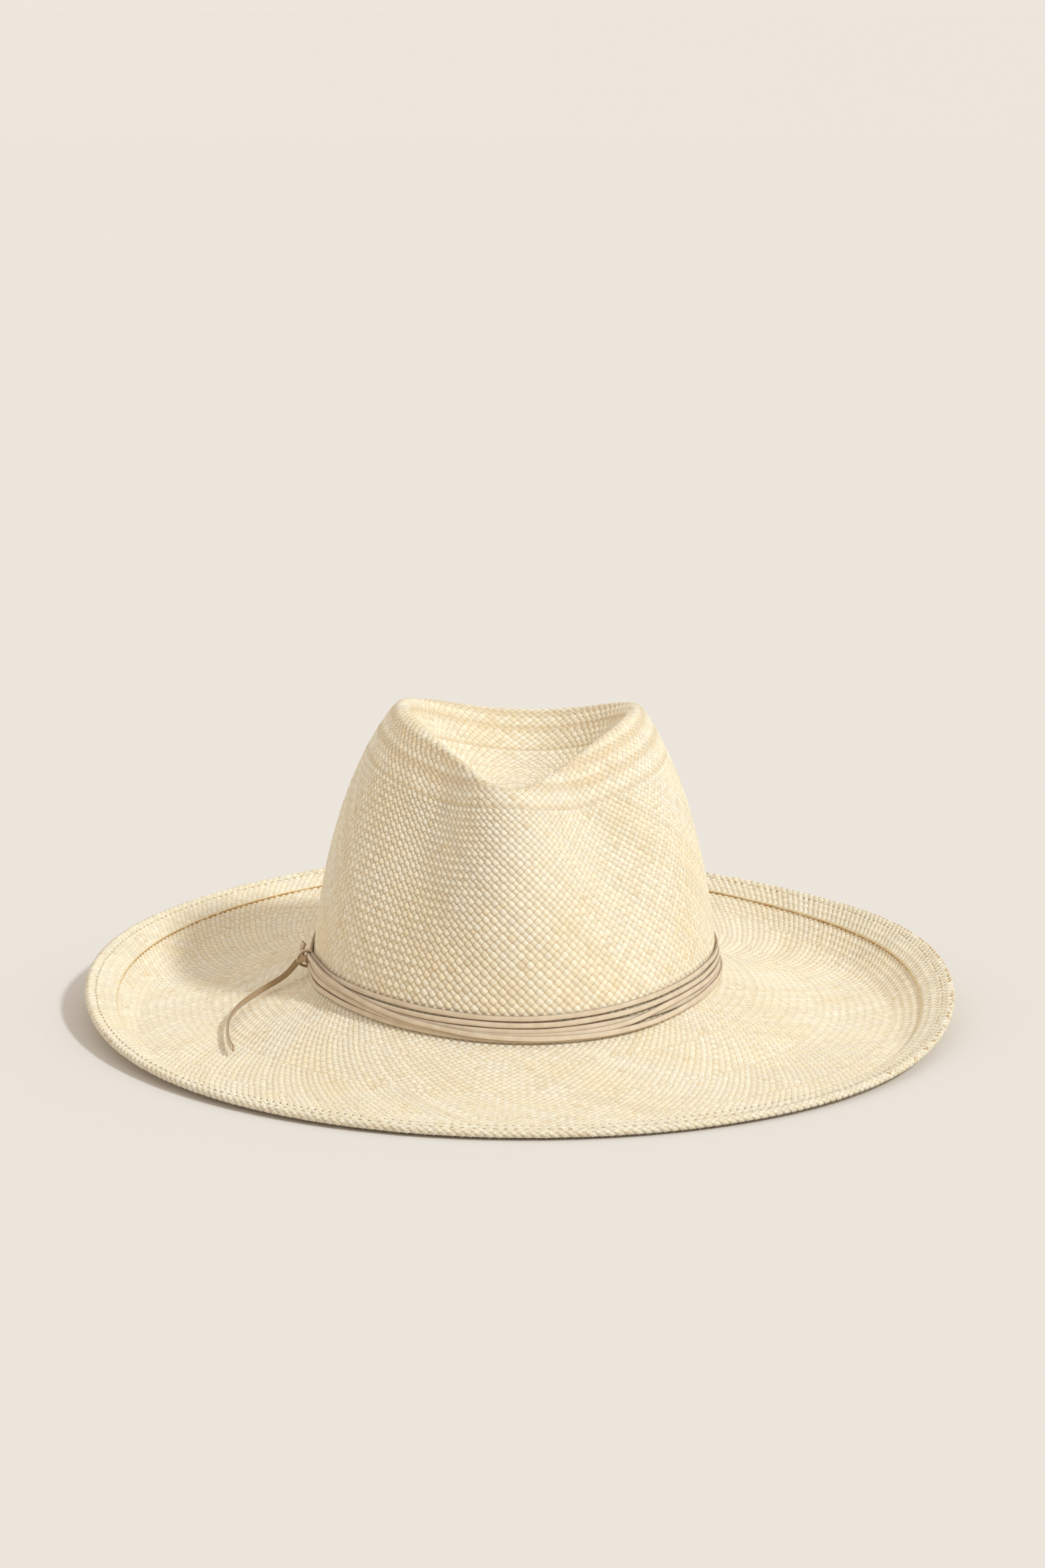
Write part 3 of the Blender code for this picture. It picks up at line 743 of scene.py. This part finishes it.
def straw_look(name, pale, warm, hole, side_shade, end_shade, mark_depth, mark_from):
    """Split palm straw: each straw has its own tone, fine fibres along it, a few stained straws, and painted
    shade along its sides, where it dives under the next and in the holes between four straws.
    """
    look = Look(name, roughness=0.55, specular_ior_level=0.35)
    along, across, upper = look.split(look.attribute("weave"))
    fibre = look.attribute("fibre")
    hue, value, spot = look.split(look.attribute("tint"))
    place = look.place()
    along = look.math("ABSOLUTE", along)
    across = look.math("ABSOLUTE", across)
    # where painted shade goes: along each straw's sides, where it dives under the next, and at the holes
    # between four straws
    side = look.smooth(across, 0.74, 1.0)
    end = look.smooth(along, 0.78, 1.0)
    corner = look.math("MULTIPLY", side, look.smooth(along, 0.80, 1.0))

    patchy = look.noise(place, 26.0, 3.0)
    hue = look.math("MULTIPLY_ADD", hue, 0.62, look.smooth(patchy, 0.30, 0.72, 0.0, 0.38))
    colour = look.mix(hue, (*pale, 1), (*warm, 1))
    streaks = look.noise(look.stretch(fibre, (1.1, 9.0, 3.7)), 1.0, 3.0, 0.6)
    shade = look.smooth(streaks, 0.30, 0.70, 0.90, 1.04)
    shade = look.math("MULTIPLY", shade, look.smooth(value, 0.0, 1.0, 0.93, 1.03))
    grey = look.add("CombineXYZ", {0: shade, 1: shade, 2: shade})
    colour = look.mix(1.0, colour, grey, "MULTIPLY")
    stain = look.math("MULTIPLY", look.smooth(spot, 0.93, 1.0), look.smooth(streaks, 0.35, 0.6))
    marked = look.smooth(spot, 1.4, 1.8)
    colour = look.mix(look.math("MULTIPLY", stain, 0.45), colour, PAINTED_SHADE_AND_STAIN)
    # painted shade along each straw's sides and where it dives under the next
    colour = look.mix(look.math("MULTIPLY", side, side_shade), colour, PAINTED_SHADE_AND_STAIN)
    colour = look.mix(look.math("MULTIPLY", end, end_shade), colour, PAINTED_SHADE_AND_STAIN)
    # painted shade in the holes between four straws
    colour = look.mix(look.math("MULTIPLY", corner, 0.85), colour, (*hole, 1))
    gap = look.math("MULTIPLY", marked, look.smooth(across, mark_from, 0.95))
    colour = look.mix(look.math("MULTIPLY", gap, mark_depth), colour, SCORCH)

    crown = look.math("SUBTRACT", 1.0, look.math("POWER", across, 2.0))
    height = look.math("ADD", look.math("MULTIPLY", crown, 0.6), look.math("MULTIPLY", streaks, 0.5))
    return look.finish(colour, None, look.bump(height, 0.00012, 0.8))


def hem_edge_look():
    """Cut ends of the straw along the hem's inner edge: browned ends with painted shade under the hem's edge,
    on the step's lower part and most towards the back.
    """
    look = Look("hem_edge", roughness=0.75, specular_ior_level=0.2)
    place = look.place()
    _, level, brown_and_shade = look.split(look.attribute("edge"))
    fibres = look.noise(look.stretch(place, (1.0, 1.0, 0.4)), 900.0, 2.0)
    colour = look.mix(look.smooth(fibres, 0.35, 0.65), (0.80, 0.66, 0.42, 1), (0.92, 0.82, 0.62, 1))
    ragged = look.math("MULTIPLY", look.smooth(look.noise(place, 300.0, 3.0), 0.24, 0.50),
                       look.smooth(look.noise(place, 55.0, 2.0), 0.30, 0.50, 0.60, 1.0))
    # browned cut ends with painted shade under the hem's edge, on the step's lower part
    low = look.smooth(level, 0.05, 0.40)
    dark = look.math("MULTIPLY", look.math("MULTIPLY", brown_and_shade, low), ragged)
    colour = look.mix(dark, colour, (0.47, 0.27, 0.09, 1))
    return look.finish(colour, None, look.bump(fibres, 0.0002))


def suede_look():
    """Brushed suede lace: pale nap on its face, painted shade on its back face, and darker cut edges deepened
    as painted shade between the strands.
    """
    look = Look("suede", roughness=0.92, specular_ior_level=0.12, sheen_weight=0.25)
    place = look.place()
    _, around_it, edge = look.split(look.attribute("lace"))
    nap = look.noise(place, 2600.0, 3.0, 0.7)
    clouds = look.noise(place, 210.0, 2.0)
    face = look.mix(look.smooth(clouds, 0.32, 0.68), (0.69, 0.56, 0.41, 1), (0.77, 0.64, 0.485, 1))
    colour = look.mix(look.smooth(nap, 0.34, 0.70, 0.0, 0.30), face, (0.60, 0.47, 0.33, 1))
    # painted shade: the strap's back face is darker brown
    back = look.smooth(around_it, 0.49, 0.53)
    colour = look.mix(look.math("MULTIPLY", back, 0.8), colour, (0.40, 0.27, 0.14, 1))
    # darker cut edges, deepened as painted shade between the strands
    colour = look.mix(look.math("MULTIPLY", edge, 0.80), colour, (0.32, 0.215, 0.12, 1))
    return look.finish(colour, None, look.bump(nap, 0.00010, 0.9))


def leather_look():
    """Smooth vegetable-tanned sweatband leather with a fine pebbled grain."""
    look = Look("sweatband_leather", roughness=0.48, specular_ior_level=0.4)
    place = look.place()
    grain = look.noise(place, 1500.0, 3.0, 0.6)
    clouds = look.noise(place, 35.0, 3.0)
    colour = look.mix(look.smooth(clouds, 0.30, 0.70), (0.47, 0.29, 0.15, 1), (0.57, 0.37, 0.21, 1))
    colour = look.mix(look.smooth(grain, 0.38, 0.60, 0.22, 0.0), colour, (0.30, 0.17, 0.08, 1))
    rough = look.smooth(grain, 0.30, 0.70, 0.60, 0.42)
    return look.finish(colour, rough, look.bump(grain, 0.00008, 0.7))


def twisted_look(name, light, dark, turns):
    """Twisted cord: slanting plies worked out from the run along it and the way round it."""
    look = Look(name, roughness=0.7, specular_ior_level=0.25)
    run, around_it, _ = look.split(look.attribute("lace"))
    slant = look.math("MULTIPLY_ADD", run, turns, look.math("MULTIPLY", around_it, 2 * math.pi))
    ply = look.math("MULTIPLY_ADD", look.math("SINE", slant), 0.5, 0.5)
    colour = look.mix(look.smooth(ply, 0.05, 0.60), (*dark, 1), (*light, 1))
    return look.finish(colour, None, look.bump(ply, 0.00015, 0.8))


# ---- smooth curves and swept shapes
def through(nodes, values, at):
    """Smooth curve through a few values: cubic, with slopes taken from the neighbours."""
    nodes, values = np.asarray(nodes, float), np.asarray(values, float)
    slopes = np.gradient(values, nodes, axis=0)
    k = np.clip(np.searchsorted(nodes, at, "right") - 1, 0, len(nodes) - 2)
    width = nodes[k + 1] - nodes[k]
    t = (at - nodes[k]) / width
    if values.ndim == 2:
        t, width = t[:, None], width[:, None]
    return (values[k] * (1 + 2 * t) * (1 - t) ** 2 + slopes[k] * width * t * (1 - t) ** 2
            + values[k + 1] * t * t * (3 - 2 * t) + slopes[k + 1] * width * t * t * (t - 1))


def wander(at, scale, size, draw):
    """Gentle irregular wave along a run, from a few sines of random phase."""
    waves = [np.sin(2 * math.pi * at / (scale * stretch) + draw.uniform(0, 2 * math.pi))
             for stretch in (1.0, 0.61, 0.37)]
    return size * sum(waves) / 3


SECTION = 20  # points round a strap


def strap(name, points, facing, width, thickness, material, ridge=2.9, closed=False):
    """A flat strap swept along points, its face turned the way it is told; the ends are closed."""
    points = np.asarray(points, float)
    count = len(points)
    tangents = flow_of(points, closed)
    sides = unit(np.cross(tangents, facing))
    faces = np.cross(sides, tangents)
    turn = np.arange(SECTION) * 2 * math.pi / SECTION
    wide = np.sign(np.cos(turn)) * np.abs(np.cos(turn)) ** (2 / ridge)
    deep = np.sign(np.sin(turn)) * np.abs(np.sin(turn)) ** (2 / ridge)
    half_width = np.broadcast_to(np.asarray(width, float) / 2, (count,))[:, None, None]
    half_depth = np.broadcast_to(np.asarray(thickness, float) / 2, (count,))[:, None, None]
    rings = (points[:, None] + sides[:, None] * wide[None, :, None] * half_width
             + faces[:, None] * deep[None, :, None] * half_depth)
    run = line_run(points)
    vertices = rings.reshape(-1, 3)
    # run along the strap, share of the way round it, and its narrow cut edges, which the suede darkens partly
    # as painted shade
    lace = np.stack([np.repeat(run, SECTION), np.tile(turn / (2 * math.pi), count),
                     np.tile(np.clip((np.abs(np.cos(turn)) - 0.62) / 0.26, 0, 1), count)], 1)
    triangles = NO_TRIANGLES
    if not closed:
        ring = np.arange(SECTION)
        after = (ring + 1) % SECTION
        first = np.stack([ring, after, np.full(SECTION, len(vertices))], 1)
        last_ring = (count - 1) * SECTION
        last = np.stack([last_ring + after, last_ring + ring, np.full(SECTION, len(vertices) + 1)], 1)
        triangles = np.concatenate([first, last])
        vertices = np.concatenate([vertices, points[:1], points[-1:]])
        lace = np.concatenate([lace, [[run[0], 0, 1], [run[-1], 0, 1]]])
    made = make_mesh(name, vertices, ring_quads(count, SECTION, closed), material, triangles)
    set_attribute(made.data, "lace", "POINT", lace)
    made.data.set_sharp_from_angle(angle=math.radians(50))
    return made


def stitches(name, points, facing, pitch, length, radius, material, draw):
    """A run of separate stitches that rise out of the surface and dive back into it."""
    run = line_run(points)
    count = int(round(run[-1] / pitch))
    share = np.linspace(0, 1, 7)
    sides = 6
    turn = np.arange(sides) * 2 * math.pi / sides
    vertices, quads, lace = [], [], []
    for k in range(count):
        at = (k + 0.5) * run[-1] / count + draw.uniform(-0.06, 0.06) * pitch
        along = at + (share - 0.5) * length * draw.uniform(0.9, 1.08)
        middle = sampled(along, run, points)
        normal = unit(sampled(along, run, facing))
        middle = middle + normal * (np.sin(math.pi * share) * 2.2 - 1.4)[:, None] * radius
        across = unit(np.cross(flow_of(middle), normal))
        swell = radius * (0.55 + 0.45 * np.sin(math.pi * share))[:, None, None]
        ring = middle[:, None] + swell * (across[:, None] * np.cos(turn)[None, :, None]
                                          + normal[:, None] * np.sin(turn)[None, :, None])
        start = len(vertices) * len(share) * sides
        vertices.append(ring.reshape(-1, 3))
        quads.append(start + ring_quads(len(share), sides)[:, ::-1])
        lace.append(np.stack([np.repeat(along, sides), np.tile(turn / (2 * math.pi), len(share)),
                              np.zeros(len(share) * sides)], 1))
    made = make_mesh(name, np.concatenate(vertices), np.concatenate(quads), material)
    set_attribute(made.data, "lace", "POINT", np.concatenate(lace))
    return made


def dress(piece, body, node):
    """Say which body a piece rides on and which CAD node it stands for."""
    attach(piece, body)
    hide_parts(node)


# ---- the straw and its hem
def straw_pieces(shell, straw):
    """The straw's upper and outer face in four sheets, and its lining and underside in two."""
    lift = STRAW / 2 - WEAVE_SINK

    def outer(distance, turn, level):
        return shell.place(distance, turn, lift + level)

    def inner(distance, turn, level):
        return shell.place(distance, turn, -lift - level)

    girth = shell.circumference
    lining = TOP_RINGS + WALL_RINGS[1:]
    for piece in (
        woven("crown_top", girth, TOP_RINGS, 3, outer, straw, 1, closed=True, ringed=True),
        woven("crown_wall", girth, WALL_RINGS, 3, outer, straw, 2, relief=1.35),
        woven("brim_inner", girth, INNER_RINGS, 3, outer, straw, 3),
        woven("brim_outer", girth, OUTER_RINGS, 3, outer, straw, 4),
        woven("crown_lining_side", girth, lining, 2, inner, straw, 5, outside=False, closed=True),
        woven("brim_under", girth, UNDER_RINGS, 2, inner, straw, 6, outside=False),
    ):
        dress(piece, "hat", "straw_body")


def hem_slope(inset):
    """How far the hem's face has sunk this far from its inner edge."""
    return HEM_SINK * np.clip(1 - inset / HEM_SLOPE, 0, 1) ** 2


def hem(shell, straw):
    """The straw turned over the rim: flat on the brim, round the edge and a little way back."""
    fold_at = BODY_RUN - HEM_ROLL
    fold_end = HEM_FLAT + math.pi * HEM_ROLL

    def under(run):
        """The brim's distance that this much of the hem's own width lies over or under."""
        return fold_at - np.where(run < HEM_FLAT, HEM_FLAT - run, np.maximum(run - fold_end, 0))

    def place(run, turn, level):
        distance = under(run)
        base = shell.look_up(shell.points, distance, turn)
        normal = unit(shell.look_up(shell.normals, distance, turn))
        outward = unit(shell.look_up(shell.outward, distance, turn))
        swing = np.clip((run - HEM_FLAT) / HEM_ROLL, 0, math.pi)
        reach = (HEM_ROLL - WEAVE_SINK + level)[..., None]
        middle = (HEM_MIDDLE - hem_slope(run))[..., None]
        return (base + normal * (middle + reach * np.cos(swing)[..., None])
                + outward * reach * np.sin(swing)[..., None])

    def girth(run):
        return shell.circumference(under(run))

    def scorched(run, turn, chance):
        likely = sum(most * np.clip(np.cos(2 * math.pi * (turn - centre)), 0, 1) ** 2
                     for centre, most in SCORCHED)
        return (np.abs(run - HEM_FLAT - SCORCH_AT) < SCORCH_SPREAD) & (chance < likely - SCORCH_CUT)

    made = woven("hem_fold", girth, (0.0, HEM_RUN), 3, place, straw, 7, relief=1.25, mark=scorched)
    dress(made, "hat", "brim_hem")


def hem_edge(shell, material):
    """The hem's cut inner edge: a narrow ragged step down to the brim."""
    draw = np.random.default_rng(8)
    count, rows = EDGE_POINTS, len(EDGE_STEPS)
    turn = np.arange(count) / count
    ragged = wander(turn * count, 9.0, 0.00012, draw) + draw.uniform(-0.00008, 0.00008, count)
    points = np.concatenate([shell.place(BODY_RUN - HEM_WIDTH + inset + ragged, turn, height + ragged / 3)
                             for inset, height in EDGE_STEPS])
    made = make_mesh("hem_edge", points, ring_quads(rows, count), material)
    # browned cut ends and painted shade under the hem's edge: none at the front, most at the back
    facing_front = -unit(points[:, :2])[:, 1]
    brown_and_shade = np.clip((0.25 - facing_front) / 0.35, 0, 1)
    level = np.repeat(np.arange(rows), count) / (rows - 1)
    set_attribute(made.data, "edge", "POINT", np.stack([np.tile(turn, rows), level, brown_and_shade], 1))
    dress(made, "hat", "brim_hem")


def hem_seam(shell, material):
    """The stitches that run round the hem, close to the rim."""
    draw = np.random.default_rng(9)
    turn = np.linspace(0, 1, 2401)
    distance = np.full(len(turn), BODY_RUN - HEM_SEAM)
    facing = unit(shell.look_up(shell.normals, distance, turn))
    points = shell.place(distance, turn, np.full(len(turn), HEM_TOP + HEM_SEAM_LIFT))
    made = stitches("hem_stitches", points, facing, 0.0042, 0.0028, 0.00028, material, draw)
    dress(made, "hat", "hem_thread")


# ---- the crown's wall and what is on it
class Wall:
    """The crown's wall near the brim, looked up by angle and by height above the brim line."""

    def __init__(self):
        self.angles = np.linspace(-math.pi, math.pi, 721)
        self.heights = np.linspace(0.0002, 0.045, 180)
        profile = np.linspace(0.30, 0.69, 300)
        points = surface(profile, self.angles)
        _, normals = directions(points)
        above = points[..., 2] - around(BASE_Z, self.angles)
        self.points = np.zeros((len(self.heights), len(self.angles), 3))
        self.normals = np.zeros_like(self.points)
        for j in range(len(self.angles)):
            self.points[:, j] = sampled(self.heights, above[::-1, j], points[::-1, j])
            self.normals[:, j] = sampled(self.heights, above[::-1, j], normals[::-1, j])

    def look_up(self, table, height, angle):
        row = np.clip((height - self.heights[0]) / (self.heights[1] - self.heights[0]),
                      0, len(self.heights) - 1.001)
        column = ((angle + math.pi) / (2 * math.pi)) % 1.0 * (len(self.angles) - 1)
        return read_between(table, row, column)

    def at(self, height, angle, out):
        """Point off the wall and the way the wall faces there."""
        height, out = (np.broadcast_to(value, len(angle)) for value in (height, out))
        normal = unit(self.look_up(self.normals, height, angle))
        return self.look_up(self.points, height, angle) + normal * out[:, None], normal


ROUNDED_BELOW = 0.0050  # the wall starts to turn out into the brim below this height


def strands(wall, suede):
    """Six turns of one long lace; they cross, bunch at the knot and climb on the hat's left side."""
    draw = np.random.default_rng(10)
    degrees = np.arange(*STRAND_ENDS, 0.75)
    angle = np.radians(degrees)
    for name, nodes in STRANDS.items():
        at, height, layer = np.array(nodes, float).T
        height = through(at, height, degrees) / 1000 + wander(degrees, 47.0, 0.00010, draw)
        layer = np.maximum(through(at, layer, degrees), -0.1) / 1000
        out = STRAW / 2 + GAP + LACE_THICK / 2 + layer
        points, _ = wall.at(height, angle, out)
        _, facing = wall.at(np.maximum(height, ROUNDED_BELOW), angle, out)
        width = LACE_WIDTH * (0.85 + wander(degrees, 31.0, 0.04, draw))
        made = strap(name, points, facing, width, LACE_THICK, suede)
        dress(made, "hatband", "hatband_lace")


def knot(wall, suede):
    """A turn of the lace wrapped over the bunched strands, and the tuck that holds the tail."""
    turn = np.linspace(0, 2 * math.pi, 64, endpoint=False)
    angle = math.radians(KNOT_AT) + KNOT_SKEW * np.sin(turn)
    points, normal = wall.at(KNOT_HEIGHT + KNOT_UP_REACH * np.sin(turn), angle,
                             KNOT_OUT + KNOT_OUT_REACH * np.cos(turn))
    upward = unit(UP - normal * (normal @ UP)[:, None])
    facing = unit(normal * np.cos(turn)[:, None] / KNOT_OUT_REACH
                  + upward * np.sin(turn)[:, None] / KNOT_UP_REACH)
    wrap = strap("knot_wrap", points, facing, LACE_WIDTH, LACE_THICK * 0.85, suede, closed=True)
    dress(wrap, "hatband", "lace_knot")
    inside, _ = wall.at((0.0098, 0.0090, 0.0078), np.radians((KNOT_AT + 2.4, KNOT_AT + 1.6, KNOT_AT + 0.6)),
                        (0.0044, 0.0056, 0.0068))
    nodes = np.concatenate([inside, np.array(TAIL_ROUTE[:2])])
    span = line_run(nodes)
    route = through(span, nodes, np.linspace(0, span[-1], 24))
    tuck = strap("knot_tuck", route, np.cross(flow_of(route), UP), LACE_WIDTH, LACE_THICK, suede)
    dress(tuck, "hatband", "lace_knot")


def short_end(wall, suede):
    """The lace's other end, standing up out of the knot."""
    share = np.linspace(0, 1, 14)
    height = 0.0090 + 0.0062 * share
    out = 0.0056 + 0.0006 * np.sin(share * math.pi)
    angle = np.radians(KNOT_AT - 2.0 + 1.0 * share)
    points, normal = wall.at(height, angle, out)
    forward = unit(np.cross(UP, normal))
    made = strap("lace_stub", points, normal + 0.8 * forward, LACE_WIDTH * 0.9, LACE_THICK, suede)
    dress(made, "hatband", "lace_short_end")


def tail(suede):
    """The long free end: a flat strap that twists from lying on its face to standing on its edge."""
    nodes = np.array(TAIL_ROUTE)
    span = line_run(nodes)
    run = np.linspace(0, span[-1], 90)
    points = through(span, nodes, run)
    share = run / run[-1]
    flow = flow_of(points)
    level = unit(np.cross(flow, UP))
    upright = np.cross(level, flow)
    lean = np.radians(through((0.0, 0.3, 0.6, 1.0), (80.0, 74.0, 80.0, 86.0), share))[:, None]
    facing = upright * np.cos(lean) + level * np.sin(lean)
    made = strap("lace_tail", points, facing, LACE_WIDTH, LACE_THICK, suede)
    dress(made, "hatband", "lace_long_end")
    [tuple(point) for point in points]


# ---- inside the crown
def sweatband(wall, leather):
    """Leather band on the head side of the wall, with a rolled top edge and a pressed line."""
    angle = np.linspace(-math.pi, math.pi, 720, endpoint=False)
    near, far = STRAW / 2 + WALL_GAP, STRAW / 2 + WALL_GAP + SWEATBAND_THICK
    low, high = SWEATBAND_LIFT, SWEATBAND_LIFT + SWEATBAND_HEIGHT
    up = np.concatenate([np.linspace(low, low + 0.004, 4), np.linspace(low + 0.006, high - 0.0040, 10),
                         high - np.array([0.0032, 0.0028, 0.0024, 0.0012, 0.0004])])
    profile = [(h, far - (0.00022 if abs(high - 0.0028 - h) < 1e-6 else 0.0)) for h in up]
    profile += [(high + 0.0002 * math.sin(t), (near + far) / 2 + (far - near) / 2 * math.cos(t))
                for t in np.linspace(0.3, math.pi - 0.3, 5)]
    profile += [(h, near) for h in up[::-3]]
    points = np.concatenate([wall.at(h, angle, -out)[0] for h, out in profile])
    made = make_mesh("sweatband_leather", points, ring_quads(len(profile), len(angle), True), leather)
    made.data.set_sharp_from_angle(angle=math.radians(60))
    dress(made, "hat", "sweatband")


def reed(wall, material):
    """The twisted cord under the sweatband's lower edge."""
    angle = np.linspace(-math.pi, math.pi, 720, endpoint=False)
    points, normal = wall.at(SWEATBAND_LIFT - GAP - REED_RADIUS, angle, -(STRAW / 2 + WALL_GAP + REED_RADIUS))
    made = strap("reed_cord", points, normal, 2 * REED_RADIUS, 2 * REED_RADIUS, material, 2.0, closed=True)
    dress(made, "hat", "sweatband_reed")


def sweatband_seam(wall, material):
    """The stitches that hold the sweatband, seen on its face."""
    draw = np.random.default_rng(11)
    angle = np.linspace(-math.pi, math.pi, 1441)
    points, normal = wall.at(SWEATBAND_LIFT + SEAM_HEIGHT, angle, -(STRAW / 2 + WALL_GAP + SWEATBAND_THICK))
    made = stitches("sweatband_stitches", points, -normal, 0.0038, 0.0028, THREAD_RADIUS, material, draw)
    dress(made, "hat", "sweatband_thread")


def bow(leather):
    """Small flat bow over the sweatband's joint: two loops and a band round their middle."""
    low, high = (np.array(corner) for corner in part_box("sweatband_bow"))
    centre, size = (low + high) / 2, high - low
    depth = size[1] / 2
    for side, name in ((-1, "bow_loop_left"), (1, "bow_loop_right")):
        share = np.linspace(0, 2 * math.pi, 40, endpoint=False)
        reach = size[0] / 2 * (0.5 - 0.5 * np.cos(share)) * 0.97
        away = depth * 0.62 * np.sin(share) * (0.35 + 0.65 * np.sin(share / 2) ** 2)
        points = centre + np.stack([side * reach, away, 0.25 * away], 1)
        facing = unit(np.cross(flow_of(points, True), UP))
        width = size[2] * (0.50 + 0.50 * np.sin(share / 2) ** 1.5)
        made = strap(name, points, facing, width, 0.0007, leather, closed=True)
        dress(made, "hat", "sweatband_bow")
    turn = np.linspace(0, 2 * math.pi, 40, endpoint=False)
    points = centre + np.stack([np.zeros(40), 1.15 * depth * np.cos(turn), size[2] * 0.36 * np.sin(turn)], 1)
    facing = np.stack([np.zeros(40), np.cos(turn), np.sin(turn)], 1)
    made = strap("bow_band", points, facing, 0.0052, 0.0008, leather, closed=True)
    dress(made, "hat", "sweatband_bow")


# ---- putting it together
camera()
suede = suede_look()
tail(suede)
floor()
lights()
shell, wall = Shell(), Wall()
# the third colour is painted shade in the holes between four straws, and the two numbers after it set how
# strong the painted shade is along the straws' sides and where one dives under the next
straw = straw_look("straw", (0.955, 0.88, 0.73), (0.925, 0.785, 0.545), (0.32, 0.18, 0.07),
                   side_shade=0.42, end_shade=0.78, mark_depth=0.18, mark_from=0.72)
straw_hem = straw_look("straw_hem", (0.95, 0.88, 0.73), (0.92, 0.80, 0.58), (0.34, 0.19, 0.07),
                       side_shade=0.40, end_shade=0.62, mark_depth=0.95, mark_from=0.20)
leather = leather_look()
thread = twisted_look("thread", (0.78, 0.68, 0.50), (0.60, 0.48, 0.30), 9000.0)
straw_pieces(shell, straw)
hem(shell, straw_hem)
hem_edge(shell, hem_edge_look())
hem_seam(shell, thread)
strands(wall, suede)
knot(wall, suede)
short_end(wall, suede)
sweatband(wall, leather)
reed(wall, twisted_look("reed", (0.80, 0.74, 0.60), (0.55, 0.48, 0.34), 2600.0))
sweatband_seam(wall, thread)
bow(leather)
